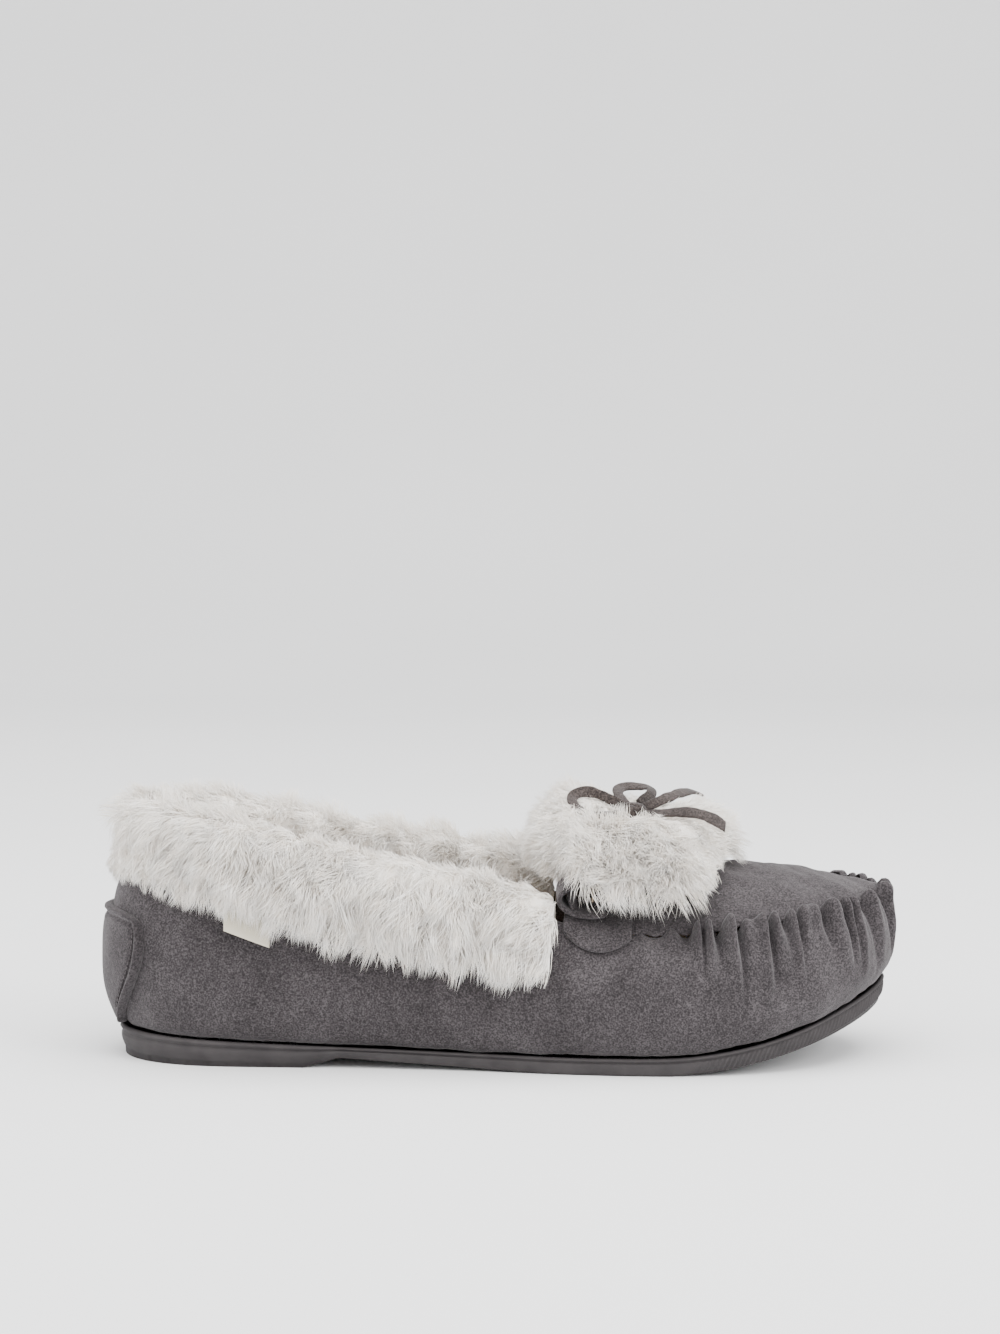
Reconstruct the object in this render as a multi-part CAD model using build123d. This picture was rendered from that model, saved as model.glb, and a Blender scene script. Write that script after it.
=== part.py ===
"""Right-foot moccasin slipper with a faux-fur collar and a fold-over fur tongue, one STEP per piece.

Millimetres. +X runs from heel to toe, +Y to the inner side of the foot, +Z up. The origin is under
the middle of the slipper, on the ground. The upper is a wall that follows the plan outline: a point
on it has a station s, the share of the outline's length from the heel centre round the outer side,
and a rise v, from 0 at the sole to 1 at the top edge.
"""

from build123d import *
import math
import os

import numpy as np

# ---- driving dimensions -------------------------------------------------------------------------

SUEDE = 1.5  # thickness of the suede panels
LINING = 3.2  # thickness of the plush lining
GAP = 0.15  # between glued or stitched layers
STIFFENER = 1.0  # heel counter board
BULGE_AT = 0.35  # rise at which the wall is widest
FEATHER_INSET = 4.5  # how far the wall tucks in at the sole
SOLE_INSET = 3.2  # outsole edge inside the plan outline
STITCH_RADIUS = 0.4
LACE_WIDTH = 3.6  # flat suede lace, drawn as a round tube of this width
CLEAR = 0.3  # between pieces that only lie near each other

# Plan outline at the wall's widest, from the heel centre round the outer side to the toe and back.
OUTLINE = [
    (-123.3, 0), (-118, -16), (-104, -27), (-78, -32), (-45, -34), (-10, -37.5), (28, -43.5),
    (60, -45), (88, -39.5), (109, -27), (121, -12), (124.9, 3), (121, 18), (109.5, 31),
    (89, 41.5), (61, 45.5), (30, 43), (-8, 37), (-45, 33), (-78, 31), (-104, 26.5),
    (-118, 16),
]  # fmt: skip

# Profiles along the length, as (x, value).
SOLE_TOP = [(-126, 9.8), (-60, 7.2), (0, 5.6), (32, 5.4), (63, 6.6), (80, 9.4), (96, 13.6),
            (111, 19), (126, 24.5)]  # fmt: skip
SOLE_BOTTOM_TOE = [(52, 0), (72, 2.2), (95, 7.6), (111, 13), (126, 19)]
TOP_EDGE = [(-125, 71), (-106, 70), (-80, 66.5), (-48, 60.5), (-16, 54), (9, 48.5), (27, 44),
            (45, 43), (63, 44), (80, 45.5), (95, 47), (110, 49), (125, 50.5)]  # fmt: skip
TOP_INSET = [(-125, 9), (-100, 6.5), (-60, 5), (-20, 5.5), (8, 8), (30, 10.5), (80, 10),
             (110, 8), (125, 5.5)]  # fmt: skip
ROLL = [(-125, 42), (-20, 48), (20, 58), (60, 68), (125, 68)]  # degrees at the top edge
CROWN = [(20, 12), (45, 13), (63, 14.5), (75, 14.3), (95, 10), (111, 4.5), (120, 1.5), (126, 0.8)]

# Heel block of the outsole.
HEEL_FRONT, HEEL_STEP, SHANK_RISE, CONTACT_START = -61, 11, 3.2, 12

# Footbed layers, upwards from the outsole.
BOARD, FOAM, SOCK = 1.8, 5.0, 2.6
BED_INSET = FEATHER_INSET + SUEDE + LINING + 1.2

# Fold of the tongue: the axis that it turns about runs along Y.
FOLD_X, FOLD_RADIUS = 27.0, 5.0
FOLD_END = -128  # degrees round the fold where its suede is joined to the apron
TONGUE_FRONT = 65.0
TONGUE_HALF_WIDTH = 33.0
CUFF_FRONT = 74.0
CUFF_BACK_HALF_WIDTH = 16.5  # between the collar's ends
PILE = 13.0  # the cuff's fur at its thickest

# The bow: its knot, and the routes of its loops and tails.
KNOT = (42.0, -3.0, 76.0)
KNOT_SIZE = (8.0, 9.0, 6.5)
LOOP_OUTER = [(39.5, -5.5, 76.2), (34.5, -9, 75.5), (28.5, -12, 76), (23.5, -10.5, 78.5),
              (22, -5.5, 81.5), (26.5, -2, 83), (32.5, -1.5, 81.5), (38.5, -2.6, 78)]  # fmt: skip
LOOP_INNER = [(40, 0.5, 78), (37.5, 5, 80.5), (37.5, 10.5, 82), (41, 14.5, 82.5),
              (46.5, 15, 82), (49, 10.5, 81.5), (47.5, 5.5, 80.2), (44, 1, 78.2)]  # fmt: skip
TAIL_INNER = [(44.5, -2, 77), (50.2, 0, 79.3), (55, 5.5, 80.5), (59, 11, 81), (62, 17, 80.5),
              (64, 23, 79)]  # fmt: skip
TAIL_OUTER = [(44.5, -4.5, 75.5), (50.5, -8.5, 76.5), (56, -12, 77.5), (61.3, -15.5, 77.5),
              (66, -19.8, 76.5), (69.3, -25, 74.5)]  # fmt: skip
LACES = {
    "bow_loop_outer": LOOP_OUTER,
    "bow_loop_inner": LOOP_INNER,
    "bow_tail_outer": TAIL_OUTER,
    "bow_tail_inner": TAIL_INNER,
}
BRIDGE_RADIUS = 1.4

# Collar band.
COLLAR_FRONT = 15.5
COLLAR_GAP = 1.7  # between the band and the suede, room for the label
LENGTHS = 6  # of fur fabric in the band
COLLAR_SEAM = 0.2

# Heel patch, as half-widths along the outline at the sole and at its widest.
PATCH_LOW, PATCH_WIDE, PATCH_TOP = 11.0, 28.0, 47.0


# ---- curves -------------------------------------------------------------------------------------


def profile(knots, x):
    """A smooth curve through knots, with each knot's slope taken from its neighbours."""
    kx, ky = np.array(knots, float).T
    slope = np.gradient(ky, kx)
    x = np.clip(np.asarray(x, float), kx[0], kx[-1])
    i = np.clip(np.searchsorted(kx, x) - 1, 0, len(kx) - 2)
    h = kx[i + 1] - kx[i]
    t = (x - kx[i]) / h
    start = (1 + 2 * t) * (1 - t) ** 2 * ky[i] + t * (1 - t) ** 2 * h * slope[i]
    end = t * t * (3 - 2 * t) * ky[i + 1] + t * t * (t - 1) * h * slope[i + 1]
    return start + end


def closed_curve(points, count=1440):
    """Even steps along the closed cubic spline through points, with its outward normals."""
    p = np.array(points, float)
    n = len(p)
    h = np.linalg.norm(np.roll(p, -1, 0) - p, axis=1)
    left = np.roll(h, 1)
    rows = np.zeros((n, n))
    k = np.arange(n)
    rows[k, k] = 2 * (h + left)
    rows[k, (k + 1) % n] = h
    rows[k, k - 1] = left
    step = (np.roll(p, -1, 0) - p) / h[:, None]
    bend = np.linalg.solve(rows, 6 * (step - np.roll(step, 1, 0)))
    along = np.concatenate([[0], np.cumsum(h)])
    at = np.linspace(0, along[-1], 4 * count, endpoint=False)
    i = np.searchsorted(along, at, side="right") - 1
    j = (i + 1) % n
    a = (along[i + 1] - at)[:, None]
    b = (at - along[i])[:, None]
    w = h[i][:, None]
    line = (bend[i] * a**3 + bend[j] * b**3) / (6 * w)
    line += (p[i] / w - bend[i] * w / 6) * a + (p[j] / w - bend[j] * w / 6) * b
    line = np.vstack([line, line[:1]])
    length = np.concatenate([[0], np.cumsum(np.linalg.norm(np.diff(line, axis=0), axis=1))])
    even = np.linspace(0, length[-1], count, endpoint=False)
    place = np.stack([np.interp(even, length, line[:, c]) for c in (0, 1)], 1)
    ahead = np.roll(place, -1, 0) - np.roll(place, 1, 0)
    normal = np.stack([ahead[:, 1], -ahead[:, 0]], 1)
    normal /= np.linalg.norm(normal, axis=1)[:, None]
    return place, normal, float(length[-1])


PLACE, NORMAL, AROUND = closed_curve(OUTLINE)


def around(s, table):
    """A row of the outline's table at each station s."""
    at = np.mod(np.asarray(s, float), 1) * len(table)
    i = np.floor(at).astype(int) % len(table)
    t = (at - np.floor(at))[..., None]
    return table[i] * (1 - t) + table[(i + 1) % len(table)] * t


def station(x, outer=True):
    """The station on the outer or inner side at this x."""
    half = len(PLACE) // 2
    rows = np.arange(half) if outer else np.arange(len(PLACE) - 1, half, -1)
    return float(np.interp(x, PLACE[rows, 0], rows / len(PLACE)))


def wall(s, v, out=0.0, full=False):
    """Points of the upper's outer face at stations s and rises v, moved out along its normal."""
    s, v, out = np.broadcast_arrays(*(np.asarray(a, float) for a in (s, v, out)))
    place, normal = around(s, PLACE), around(s, NORMAL)
    x = place[..., 0]
    low, high, inset_top = profile(SOLE_TOP, x), profile(TOP_EDGE, x), profile(TOP_INSET, x)
    roll = np.radians(profile(ROLL, x))
    widest = low + BULGE_AT * (high - low)
    down = np.clip(1 - v / BULGE_AT, 0, 1)
    angle = roll * np.clip((v - BULGE_AT) / (1 - BULGE_AT), 0, 1)
    upper = v > BULGE_AT
    z = np.where(upper, widest + (high - widest) * np.sin(angle) / np.sin(roll),
                 low + (widest - low) * (1 - down))  # fmt: skip
    inset = np.where(upper, inset_top * (1 - np.cos(angle)) / (1 - np.cos(roll)),
                     FEATHER_INSET * down**2)  # fmt: skip
    rise = np.where(upper, (high - widest) * np.cos(angle) / np.sin(roll) * roll,
                    (widest - low) * (1 - BULGE_AT) / BULGE_AT)  # fmt: skip
    lean = np.where(upper, inset_top * np.sin(angle) / (1 - np.cos(roll)) * roll,
                    -2 * FEATHER_INSET * down * (1 - BULGE_AT) / BULGE_AT)  # fmt: skip
    size = np.hypot(rise, lean)
    side = (out * rise / size - inset)[..., None] * normal
    point = np.concatenate([place + side, (z + out * lean / size)[..., None]], -1)
    if full:
        return point, normal
    return point


# ---- solids -------------------------------------------------------------------------------------


def surface(grid, fit):
    rows = [[Vector(*map(float, p)) for p in row] for row in grid]
    return Face.make_surface_from_array_of_points(rows, tol=fit)


def between(first, second, fit=0.02):
    """The solid between two grids of points, closed by four ruled edges. Each face keeps within
    fit of its points."""
    a, b = surface(first, fit), surface(second, fit)
    rims = [Face.make_surface_from_curves(p, q) for p, q in zip(a.edges(), b.edges())]
    solid = Solid(Shell([a, b, *rims]))
    if solid.volume < 0:
        solid = Solid(Shell([-f for f in (a, b, *rims)]))
    return solid


def panel(s_from, s_to, v_from, v_to, outside, inside, columns=64, rows=9):
    """A piece of the wall between two depths. v_from and v_to may change along it."""
    t = np.linspace(0, 1, columns)
    s = s_from + (s_to - s_from) * t
    low, high = (np.broadcast_to(v, s.shape) for v in (v_from, v_to))
    k = np.linspace(0, 1, rows)[:, None]
    v = low + (high - low) * k
    return between(wall(s[None], v, -outside), wall(s[None], v, -inside))


def plan(inset, count=28):
    """The face inside the plan outline, at z 0."""
    s = np.arange(count) / count
    p = around(s, PLACE) - inset * around(s, NORMAL)
    return make_face(Spline([tuple(q) for q in p], periodic=True))


def slab(inset, lower, upper):
    """The plan outline, less inset, between two profiles along the length."""
    low = [(x, z) for x, z in lower]
    high = [(x, z) for x, z in upper]
    edge = [
        Spline(low),
        Line(low[-1], high[-1]),
        Spline(high[::-1]),
        Line(high[0], low[0]),
    ]
    side = extrude(Plane.XZ * make_face(edge), 60, both=True)
    return side & extrude(plan(inset), 80)


def raised(knots, by):
    return [(x, z + by) for x, z in knots]


def bar(start, end, radius):
    """A straight thread or pin between two points."""
    a, b = Vector(*map(float, start)), Vector(*map(float, end))
    return Plane(origin=a, z_dir=b - a) * extrude(Circle(radius), (b - a).length)


def tube(route, radius):
    """A cord along straight runs joined by arcs as large as the runs allow."""
    points = [Vector(*p) for p in route]
    radii = []
    for a, b, c in zip(points, points[1:], points[2:]):
        turn = math.radians((b - a).get_angle(c - b))
        run = min((b - a).length, (c - b).length)
        radii.append(0.45 * run / math.tan(turn / 2))
    line = FilletPolyline(*points, radius=radii)
    start = Plane(origin=line @ 0, z_dir=line % 0)
    body = sweep(start * Circle(radius), path=line)
    share = body.volume / (math.pi * radius**2 * line.length)
    print("cord", [round(r, 1) for r in radii], "length", round(line.length, 1), round(share, 3))
    return body


# ---- sole and footbed ---------------------------------------------------------------------------


def outsole():
    heel_end = HEEL_FRONT + HEEL_STEP
    toe = SOLE_BOTTOM_TOE
    edge = [
        Line((-126, 0), (HEEL_FRONT, 0)),
        Line((HEEL_FRONT, 0), (heel_end, SHANK_RISE)),
        Line((heel_end, SHANK_RISE), (CONTACT_START, 0)),
        Line((CONTACT_START, 0), toe[0]),
        Spline(toe, tangents=[(1, 0), (1, 0.33)]),
        Line(toe[-1], SOLE_TOP[-1]),
        Spline(SOLE_TOP[::-1]),
        Line(SOLE_TOP[0], (-126, 0)),
    ]
    side = extrude(Plane.XZ * make_face(edge), 60, both=True)
    body = side & extrude(plan(SOLE_INSET), 40)
    groove_width, groove_depth, pitch = 1.8, 1.1, 6.0
    for first, last in ((-108, -68), (16, 52)):
        x = first
        while x <= last:
            body -= Pos(x, 0, 0) * Box(groove_width, 52, 2 * groove_depth)
            x += pitch
    return body


def footbed():
    """Insole board, foam and sock, each lying on the one below."""
    low = raised(SOLE_TOP, 0.1)
    board = slab(BED_INSET, low, raised(low, BOARD))
    low = raised(low, BOARD + GAP)
    foam = slab(BED_INSET, low, raised(low, FOAM))
    low = raised(low, FOAM + GAP)
    sock = slab(BED_INSET, low, raised(low, SOCK))
    return {"insole_board": board, "foam_footbed": foam, "sock": sock}


# ---- upper --------------------------------------------------------------------------------------

BACK_SEAM = 0.0012  # half the gap at the heel seam, as a station
THROAT_OUT, THROAT_IN = station(22), station(22, outer=False)


def vamp():
    """One suede panel round the whole foot, closed by a seam up the heel."""
    return panel(BACK_SEAM, 1 - BACK_SEAM, 0.006, 1.0, 0, SUEDE, columns=110)


def behind_stiffener(s):
    """How much deeper the lining lies where the heel stiffener is in front of it."""
    from_heel = np.mod(np.asarray(s) + 0.5, 1) - 0.5
    return (STIFFENER + GAP) * np.exp(-((from_heel / 0.14) ** 4))


def linings():
    """Plush lining in a front and a back piece. The back piece leaves room for the stiffener."""
    s = np.linspace(THROAT_OUT + 0.002, THROAT_IN - 0.002, 64)
    depth = SUEDE + GAP
    front = panel(s[0], s[-1], 0.03, 0.95, depth, depth + LINING)
    s = np.linspace(THROAT_IN + 0.002, 1 + THROAT_OUT - 0.002, 64)
    depth = SUEDE + GAP + behind_stiffener(s)
    v = np.linspace(0.03, 0.99, 9)[:, None]
    back = between(wall(s[None], v, -depth), wall(s[None], v, -depth - LINING))
    return {"vamp_lining": front, "quarter_lining": back}


def stiffener():
    s = np.linspace(-0.075, 0.075, 24)
    depth = SUEDE + GAP
    v = np.linspace(0.05, 0.72, 8)[:, None]
    return between(wall(s[None], v, -depth), wall(s[None], v, -depth - STIFFENER))


def patch_edge(k):
    """The heel patch's half-width, as a station, and its rise, at k from 0, the sole, to 1."""
    rise = 0.02 + 0.93 * k * (PATCH_TOP - 10) / (70 - 10)
    width = PATCH_LOW + (PATCH_WIDE - PATCH_LOW) * np.sin(np.clip(k / 0.8, 0, 1) * np.pi / 2)
    return width / AROUND, rise


def heel_patch():
    k = np.linspace(0, 1, 9)
    half, rise = patch_edge(k)
    s = half[:, None] * np.linspace(-1, 1, 25)[None]
    out = GAP + SUEDE
    return between(wall(s, rise[:, None], out), wall(s, rise[:, None], GAP))


def crowned(inset_share, drop, x):
    """Height of the apron's face over a place, drop below its outer face.
    inset_share is y over the half-width of the seam, so 1 is on the seam."""
    return profile(TOP_EDGE, x) + profile(CROWN, x) * (1 - inset_share**2) - drop


def seam_half_width(x):
    """Half the width between the two gathered seams."""
    outer = wall(np.array([station(float(q)) for q in x]), 1.0)[:, 1]
    inner = wall(np.array([station(float(q), outer=False) for q in x]), 1.0)[:, 1]
    return (inner - outer) / 2, (inner + outer) / 2


def crown_sheet(x_from, thick_from, thick_to):
    """A sheet that follows the apron's crown, wider than the apron."""
    x = np.linspace(x_from, 128, 24)
    half, middle = seam_half_width(np.clip(x, None, 112))
    y = np.linspace(-44, 44, 15)
    grids = []
    for drop in (thick_from, thick_to):
        share = (y[None] - middle[:, None]) / np.maximum(half, 34)[:, None]
        z = crowned(share, drop, x[:, None])
        grids.append(np.stack(np.broadcast_arrays(x[:, None], y[None], z), -1))
    return between(*grids)


def seam_plan(inset, x_from):
    """The plan of the apron, inside the gathered seam."""
    s = np.linspace(station(x_from), station(x_from, outer=False), 27)
    top, normal = wall(s, 1.0, full=True)
    p = top[:, :2] - inset * normal
    edge = Spline([tuple(q) for q in p])
    return extrude(make_face([edge, Line(tuple(p[-1]), tuple(p[0]))]), 90)


def apron():
    return crown_sheet(10, 0, SUEDE) & seam_plan(SUEDE + 1.0, FOLD_X + 0.6)


def apron_lining():
    depth = SUEDE + GAP
    return crown_sheet(10, depth, depth + LINING) & seam_plan(SUEDE + LINING + 2.5, FOLD_X + 0.6)


# ---- tongue and its fur cuff --------------------------------------------------------------------

FOLD_Z = float(crowned(0.0, 0, FOLD_X)) + FOLD_RADIUS + SUEDE + 0.4


def sag(x, y):
    """How far the tongue bends down beside its middle, following the apron's crown."""
    return profile(CROWN, x) * (np.asarray(y) / 36.0) ** 2


def tongue_path(out, start, front):
    """The tongue's line in side view, from this many degrees round the fold, then forwards."""
    turn = np.radians(np.linspace(start, 90, 17))
    radius = FOLD_RADIUS + out
    fold = np.stack([FOLD_X + radius * np.cos(turn), FOLD_Z + radius * np.sin(turn)], 1)
    x = np.linspace(FOLD_X, front, 15)[1:]
    share = (x - FOLD_X) / (CUFF_FRONT - FOLD_X)
    resting = crowned(0.0, 0, x) + 1.5
    z = (FOLD_Z + FOLD_RADIUS) * (1 - share) + resting * share + 2.5 * np.sin(np.pi * share)
    return np.vstack([fold, np.stack([x, z + out], 1)])


def across(path, half_width, count=13):
    """Carries a side-view line across the foot. half_width may change along it."""
    t = np.linspace(-1, 1, count)[None]
    y = np.broadcast_to(half_width, len(path))[:, None] * t
    x = path[:, :1] + 0 * t
    return np.stack([x, y, path[:, 1:] - sag(x, y)], -1)


def tongue():
    outer = tongue_path(SUEDE, 360 + FOLD_END, TONGUE_FRONT)
    inner = tongue_path(0, 360 + FOLD_END, TONGUE_FRONT)
    width = TONGUE_HALF_WIDTH - 5 * np.linspace(0, 1, len(outer)) ** 3
    return between(across(outer, width), across(inner, width)) - lace_holes()


def cuff_fur():
    """The pile over the tongue. It is parted round the knot and narrow behind the fold."""
    under = tongue_path(SUEDE + 0.4, 205, CUFF_FRONT)
    k = np.linspace(0, 1, len(under))
    ahead = np.gradient(under, axis=0)
    normal = np.stack([-ahead[:, 1], ahead[:, 0]], 1)
    normal /= np.linalg.norm(normal, axis=1)[:, None]
    front = np.sqrt(1 - np.clip((k - 0.84) / 0.16, 0, 1) ** 2)
    thick = 2 + (PILE - 2) * np.clip(0.45 + k / 0.6, 0, 1) * front
    over = under + thick[:, None] * normal
    forward = np.clip((under[:, 0] - (FOLD_X - 5)) / 6, 0, 1) * (k > 0.2)
    widest = TONGUE_HALF_WIDTH + 2
    width = CUFF_BACK_HALF_WIDTH + (widest - CUFF_BACK_HALF_WIDTH) * forward**2 * (3 - 2 * forward)
    base, top = across(under, width), across(over, width)
    falls = 0.6 * (np.abs(top[..., 1]) / width[:, None]) ** 2.5
    top += (base - top) * falls[..., None]
    near_knot = (top[..., 0] - KNOT[0]) ** 2 + (top[..., 1] - KNOT[1]) ** 2
    over_base = top[..., 2] - base[..., 2]
    top[..., 2] -= 0.75 * over_base * np.exp(-near_knot / 8.5**2) * (k > 0.3)[:, None]
    return between(base, top) - lace_holes() - bow_bed()


def lace_legs(radius):
    """The two legs of the lace between the knot and the underside of the tongue."""
    x, y, z = KNOT
    knot_bottom = z - KNOT_SIZE[2] / 2
    legs = []
    for side in (-2.6, 2.6):
        legs.append(Pos(x, y + side, knot_bottom - 12) * extrude(Circle(radius), 12))
    return legs


def lace_holes():
    first, second = lace_legs(BRIDGE_RADIUS + CLEAR)
    return first + second


def lace_bridge():
    first, second = lace_legs(BRIDGE_RADIUS)
    x, y, z = KNOT
    bottom = z - KNOT_SIZE[2] / 2 - 12 + BRIDGE_RADIUS
    return first + second + bar((x, y - 2.6, bottom), (x, y + 2.6, bottom), BRIDGE_RADIUS)


def bow_bed():
    """The hollow that the bow presses into the pile."""
    bed = Pos(*KNOT) * Box(*(size + 2 * CLEAR for size in KNOT_SIZE))
    for route in LACES.values():
        bed += tube(route, LACE_WIDTH / 2 + CLEAR)
    return bed


def bow():
    knot = Pos(*KNOT) * Box(*KNOT_SIZE)
    knot = fillet(knot.edges(), 2.2)
    pieces = {"bow_knot": knot, "lace_bridge": lace_bridge()}
    for name, route in LACES.items():
        pieces[name] = tube(route, LACE_WIDTH / 2) - knot
    return pieces


# ---- collar -------------------------------------------------------------------------------------


def collar_arch(s, k):
    """The band's inner face over the top edge: k from 0, outside and low, to 1, inside."""
    deep = SUEDE + LINING + 2 * GAP + CLEAR + behind_stiffener(s)
    x = around(s, PLACE)[..., 0]
    low = profile([(-125, 0.66), (-80, 0.62), (-48, 0.5), (-10, 0.42), (16, 0.4)], x)
    outside = wall(s, low + (1 - low) * np.clip(k / 0.5, 0, 1), COLLAR_GAP)
    inside = wall(s, 1 - 0.3 * np.clip((k - 0.7) / 0.3, 0, 1), -deep)
    start, end = wall(s, 1.0, COLLAR_GAP), wall(s, 1.0, -deep)
    half = np.linalg.norm(start - end, axis=-1, keepdims=True) / 2
    turn = np.pi * np.clip((k - 0.5) / 0.2, 0, 1)[..., None]
    over = (start + end) / 2 + (start - end) / 2 * np.cos(turn)
    over[..., 2:] += half * np.sin(turn)
    return np.where((k <= 0.5)[..., None], outside, np.where((k >= 0.7)[..., None], inside, over))


def collar_length(first, last):
    """One length of the band between two stations."""
    s, k = np.broadcast_arrays(np.linspace(first, last, 13)[None], np.linspace(0, 1, 25)[:, None])
    inner = collar_arch(s, k)
    up, right = np.gradient(inner, axis=0), np.gradient(inner, axis=1)
    normal = np.cross(up, right)
    normal /= np.linalg.norm(normal, axis=-1)[..., None]
    hanging = profile([(-125, 2.0), (-105, 2.6), (-60, 5), (16, 4)], around(s, PLACE)[..., 0])
    thick = 2.5 + hanging * np.sin(np.pi * np.clip(k / 0.7, 0, 1))
    thick += 6 * np.exp(-(((k - 0.59) / 0.11) ** 2))
    thick = np.where(k > 0.7, np.maximum(3.0, thick), thick)
    return between(inner, inner + normal * thick[..., None], fit=0.08)


def collar_fur():
    """The band, pieced from lengths of fur fabric that meet edge to edge with a hairline seam."""
    ends = np.linspace(station(COLLAR_FRONT), station(COLLAR_FRONT, outer=False) - 1, LENGTHS + 1)
    seam = np.sign(ends[-1] - ends[0]) * COLLAR_SEAM / 2 / AROUND
    return Compound([collar_length(a + seam, b - seam) for a, b in zip(ends, ends[1:])])


# ---- label, throat tabs and thread --------------------------------------------------------------

LABEL_BACK, LABEL_FRONT = station(-87.5), station(-71.6)


def side_label():
    """A woven tab folded in two. Its root is under the collar."""
    return panel(LABEL_BACK, LABEL_FRONT, 0.45, 0.68, -1.4, -0.25, columns=12)


def throat_tab(outer):
    """The rounded wing of the apron, lapped over the top edge of the vamp."""
    first, last = station(18, outer), station(39, outer)
    k = np.linspace(0, 1, 17)
    low = 0.98 - 0.16 * np.sqrt(np.sin(np.pi * (0.04 + 0.92 * k)))
    return panel(first, last, low, 1.0, -(GAP + SUEDE), -GAP, columns=17)


def stitch(s, v, out, length, lengthwise=True):
    """A short thread lying on the wall, along the foot or up the wall."""
    if lengthwise:
        half = length / 2 / AROUND
        ends = wall(np.array([s - half, s + half]), v, out)
    else:
        half = length / 2 / 40
        ends = wall(s, np.array([v - half, v + half]), out)
    return bar(ends[0], ends[1], STITCH_RADIUS)


def seam_stitches(count=34):
    """The outer runs of the gathering thread, on the vamp just under its top edge."""
    out = STITCH_RADIUS + 0.15
    places = np.linspace(station(44), station(44, outer=False), count)
    return Compound([stitch(s, 0.93, out, 2.2, lengthwise=False) for s in places])


def patch_stitches(count=9):
    """Threads down both sides of the heel patch and along its top."""
    threads = []
    out = SUEDE + GAP + STITCH_RADIUS + 0.05
    for k in np.linspace(0.1, 0.92, count):
        half, rise = patch_edge(k)
        for side in (-1, 1):
            s = side * (half - 2 / AROUND)
            threads.append(stitch(s, rise, out, 2.2, lengthwise=False))
    half, rise = patch_edge(1.0)
    for s in np.linspace(-0.8, 0.8, count) * half:
        threads.append(stitch(s, rise - 0.06, out, 2.2))
    return Compound(threads)


def throat_stitches(count=5):
    threads = []
    for outer in (True, False):
        first, last = station(22, outer), station(35, outer)
        for s in np.linspace(first, last, count):
            threads.append(stitch(s, 0.87, SUEDE + GAP + STITCH_RADIUS + 0.05, 2.0))
    return Compound(threads)


if __name__ == "__main__":
    parts = {"outsole": outsole(), **footbed(), "vamp": vamp(), **linings()}
    parts["heel_stiffener"] = stiffener()
    parts["heel_patch"] = heel_patch()
    parts["apron"] = apron()
    parts["apron_lining"] = apron_lining()
    parts["tongue"] = tongue()
    parts["cuff_fur"] = cuff_fur()
    parts["collar_fur"] = collar_fur()
    parts["side_label"] = side_label()
    parts["throat_tab_outer"] = throat_tab(outer=True)
    parts["throat_tab_inner"] = throat_tab(outer=False)
    parts["seam_stitches"] = seam_stitches()
    parts["patch_stitches"] = patch_stitches()
    parts["throat_stitches"] = throat_stitches()
    parts.update(bow())
    os.makedirs("parts", exist_ok=True)
    for name, shape in parts.items():
        export_step(shape, f"parts/{name}.step")
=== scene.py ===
"""A moccasin house slipper: grey suede, gathered toe, fur collar and cuff, lace bow, low sole."""

import bpy
import numpy as np
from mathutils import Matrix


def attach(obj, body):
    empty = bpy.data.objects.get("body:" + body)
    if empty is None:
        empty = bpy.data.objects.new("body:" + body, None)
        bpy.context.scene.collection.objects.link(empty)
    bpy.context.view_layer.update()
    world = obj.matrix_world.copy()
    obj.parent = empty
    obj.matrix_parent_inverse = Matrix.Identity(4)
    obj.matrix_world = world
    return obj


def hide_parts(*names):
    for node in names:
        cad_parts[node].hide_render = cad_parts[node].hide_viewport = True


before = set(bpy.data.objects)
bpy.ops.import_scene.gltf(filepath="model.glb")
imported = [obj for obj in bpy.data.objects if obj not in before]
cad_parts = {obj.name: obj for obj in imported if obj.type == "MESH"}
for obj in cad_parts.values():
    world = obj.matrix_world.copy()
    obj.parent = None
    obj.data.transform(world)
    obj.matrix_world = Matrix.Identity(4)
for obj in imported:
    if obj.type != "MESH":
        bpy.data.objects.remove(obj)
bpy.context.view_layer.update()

# ---- camera --------------------------------------------------------------------------------------
# A long lens from a little above the floor, looking square on at the outer side of the slipper.
# It aims below the slipper's top, so that there is more room above it than below.

VIEW_DISTANCE, VIEW_RISE, VIEW_TILT = 0.955, 9.5, 4.6
VIEW_HEIGHT, FOCAL_LENGTH = 0.040, 81
view_rise = np.radians(VIEW_RISE)
lens = bpy.data.cameras.new("camera")
lens.sensor_fit = "VERTICAL"
lens.sensor_height = 36
lens.lens = FOCAL_LENGTH
camera = bpy.data.objects.new("camera", lens)
camera.location = (0.0, -VIEW_DISTANCE * np.cos(view_rise),
                   VIEW_HEIGHT + VIEW_DISTANCE * np.sin(view_rise))  # fmt: skip
camera.rotation_euler = (np.radians(90 - VIEW_TILT), 0, 0)
bpy.context.scene.collection.objects.link(camera)
bpy.context.scene.camera = camera

# ---- suede vamp ----------------------------------------------------------------------------------
# One panel of brushed grey suede, lasted over a foot form, with a butt seam up the heel. Round the
# toe its edge is gathered on a thread into deep rounded pleats. The form's outline, feather edge
# and top edge come first, because the other pieces are fitted to them.

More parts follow.
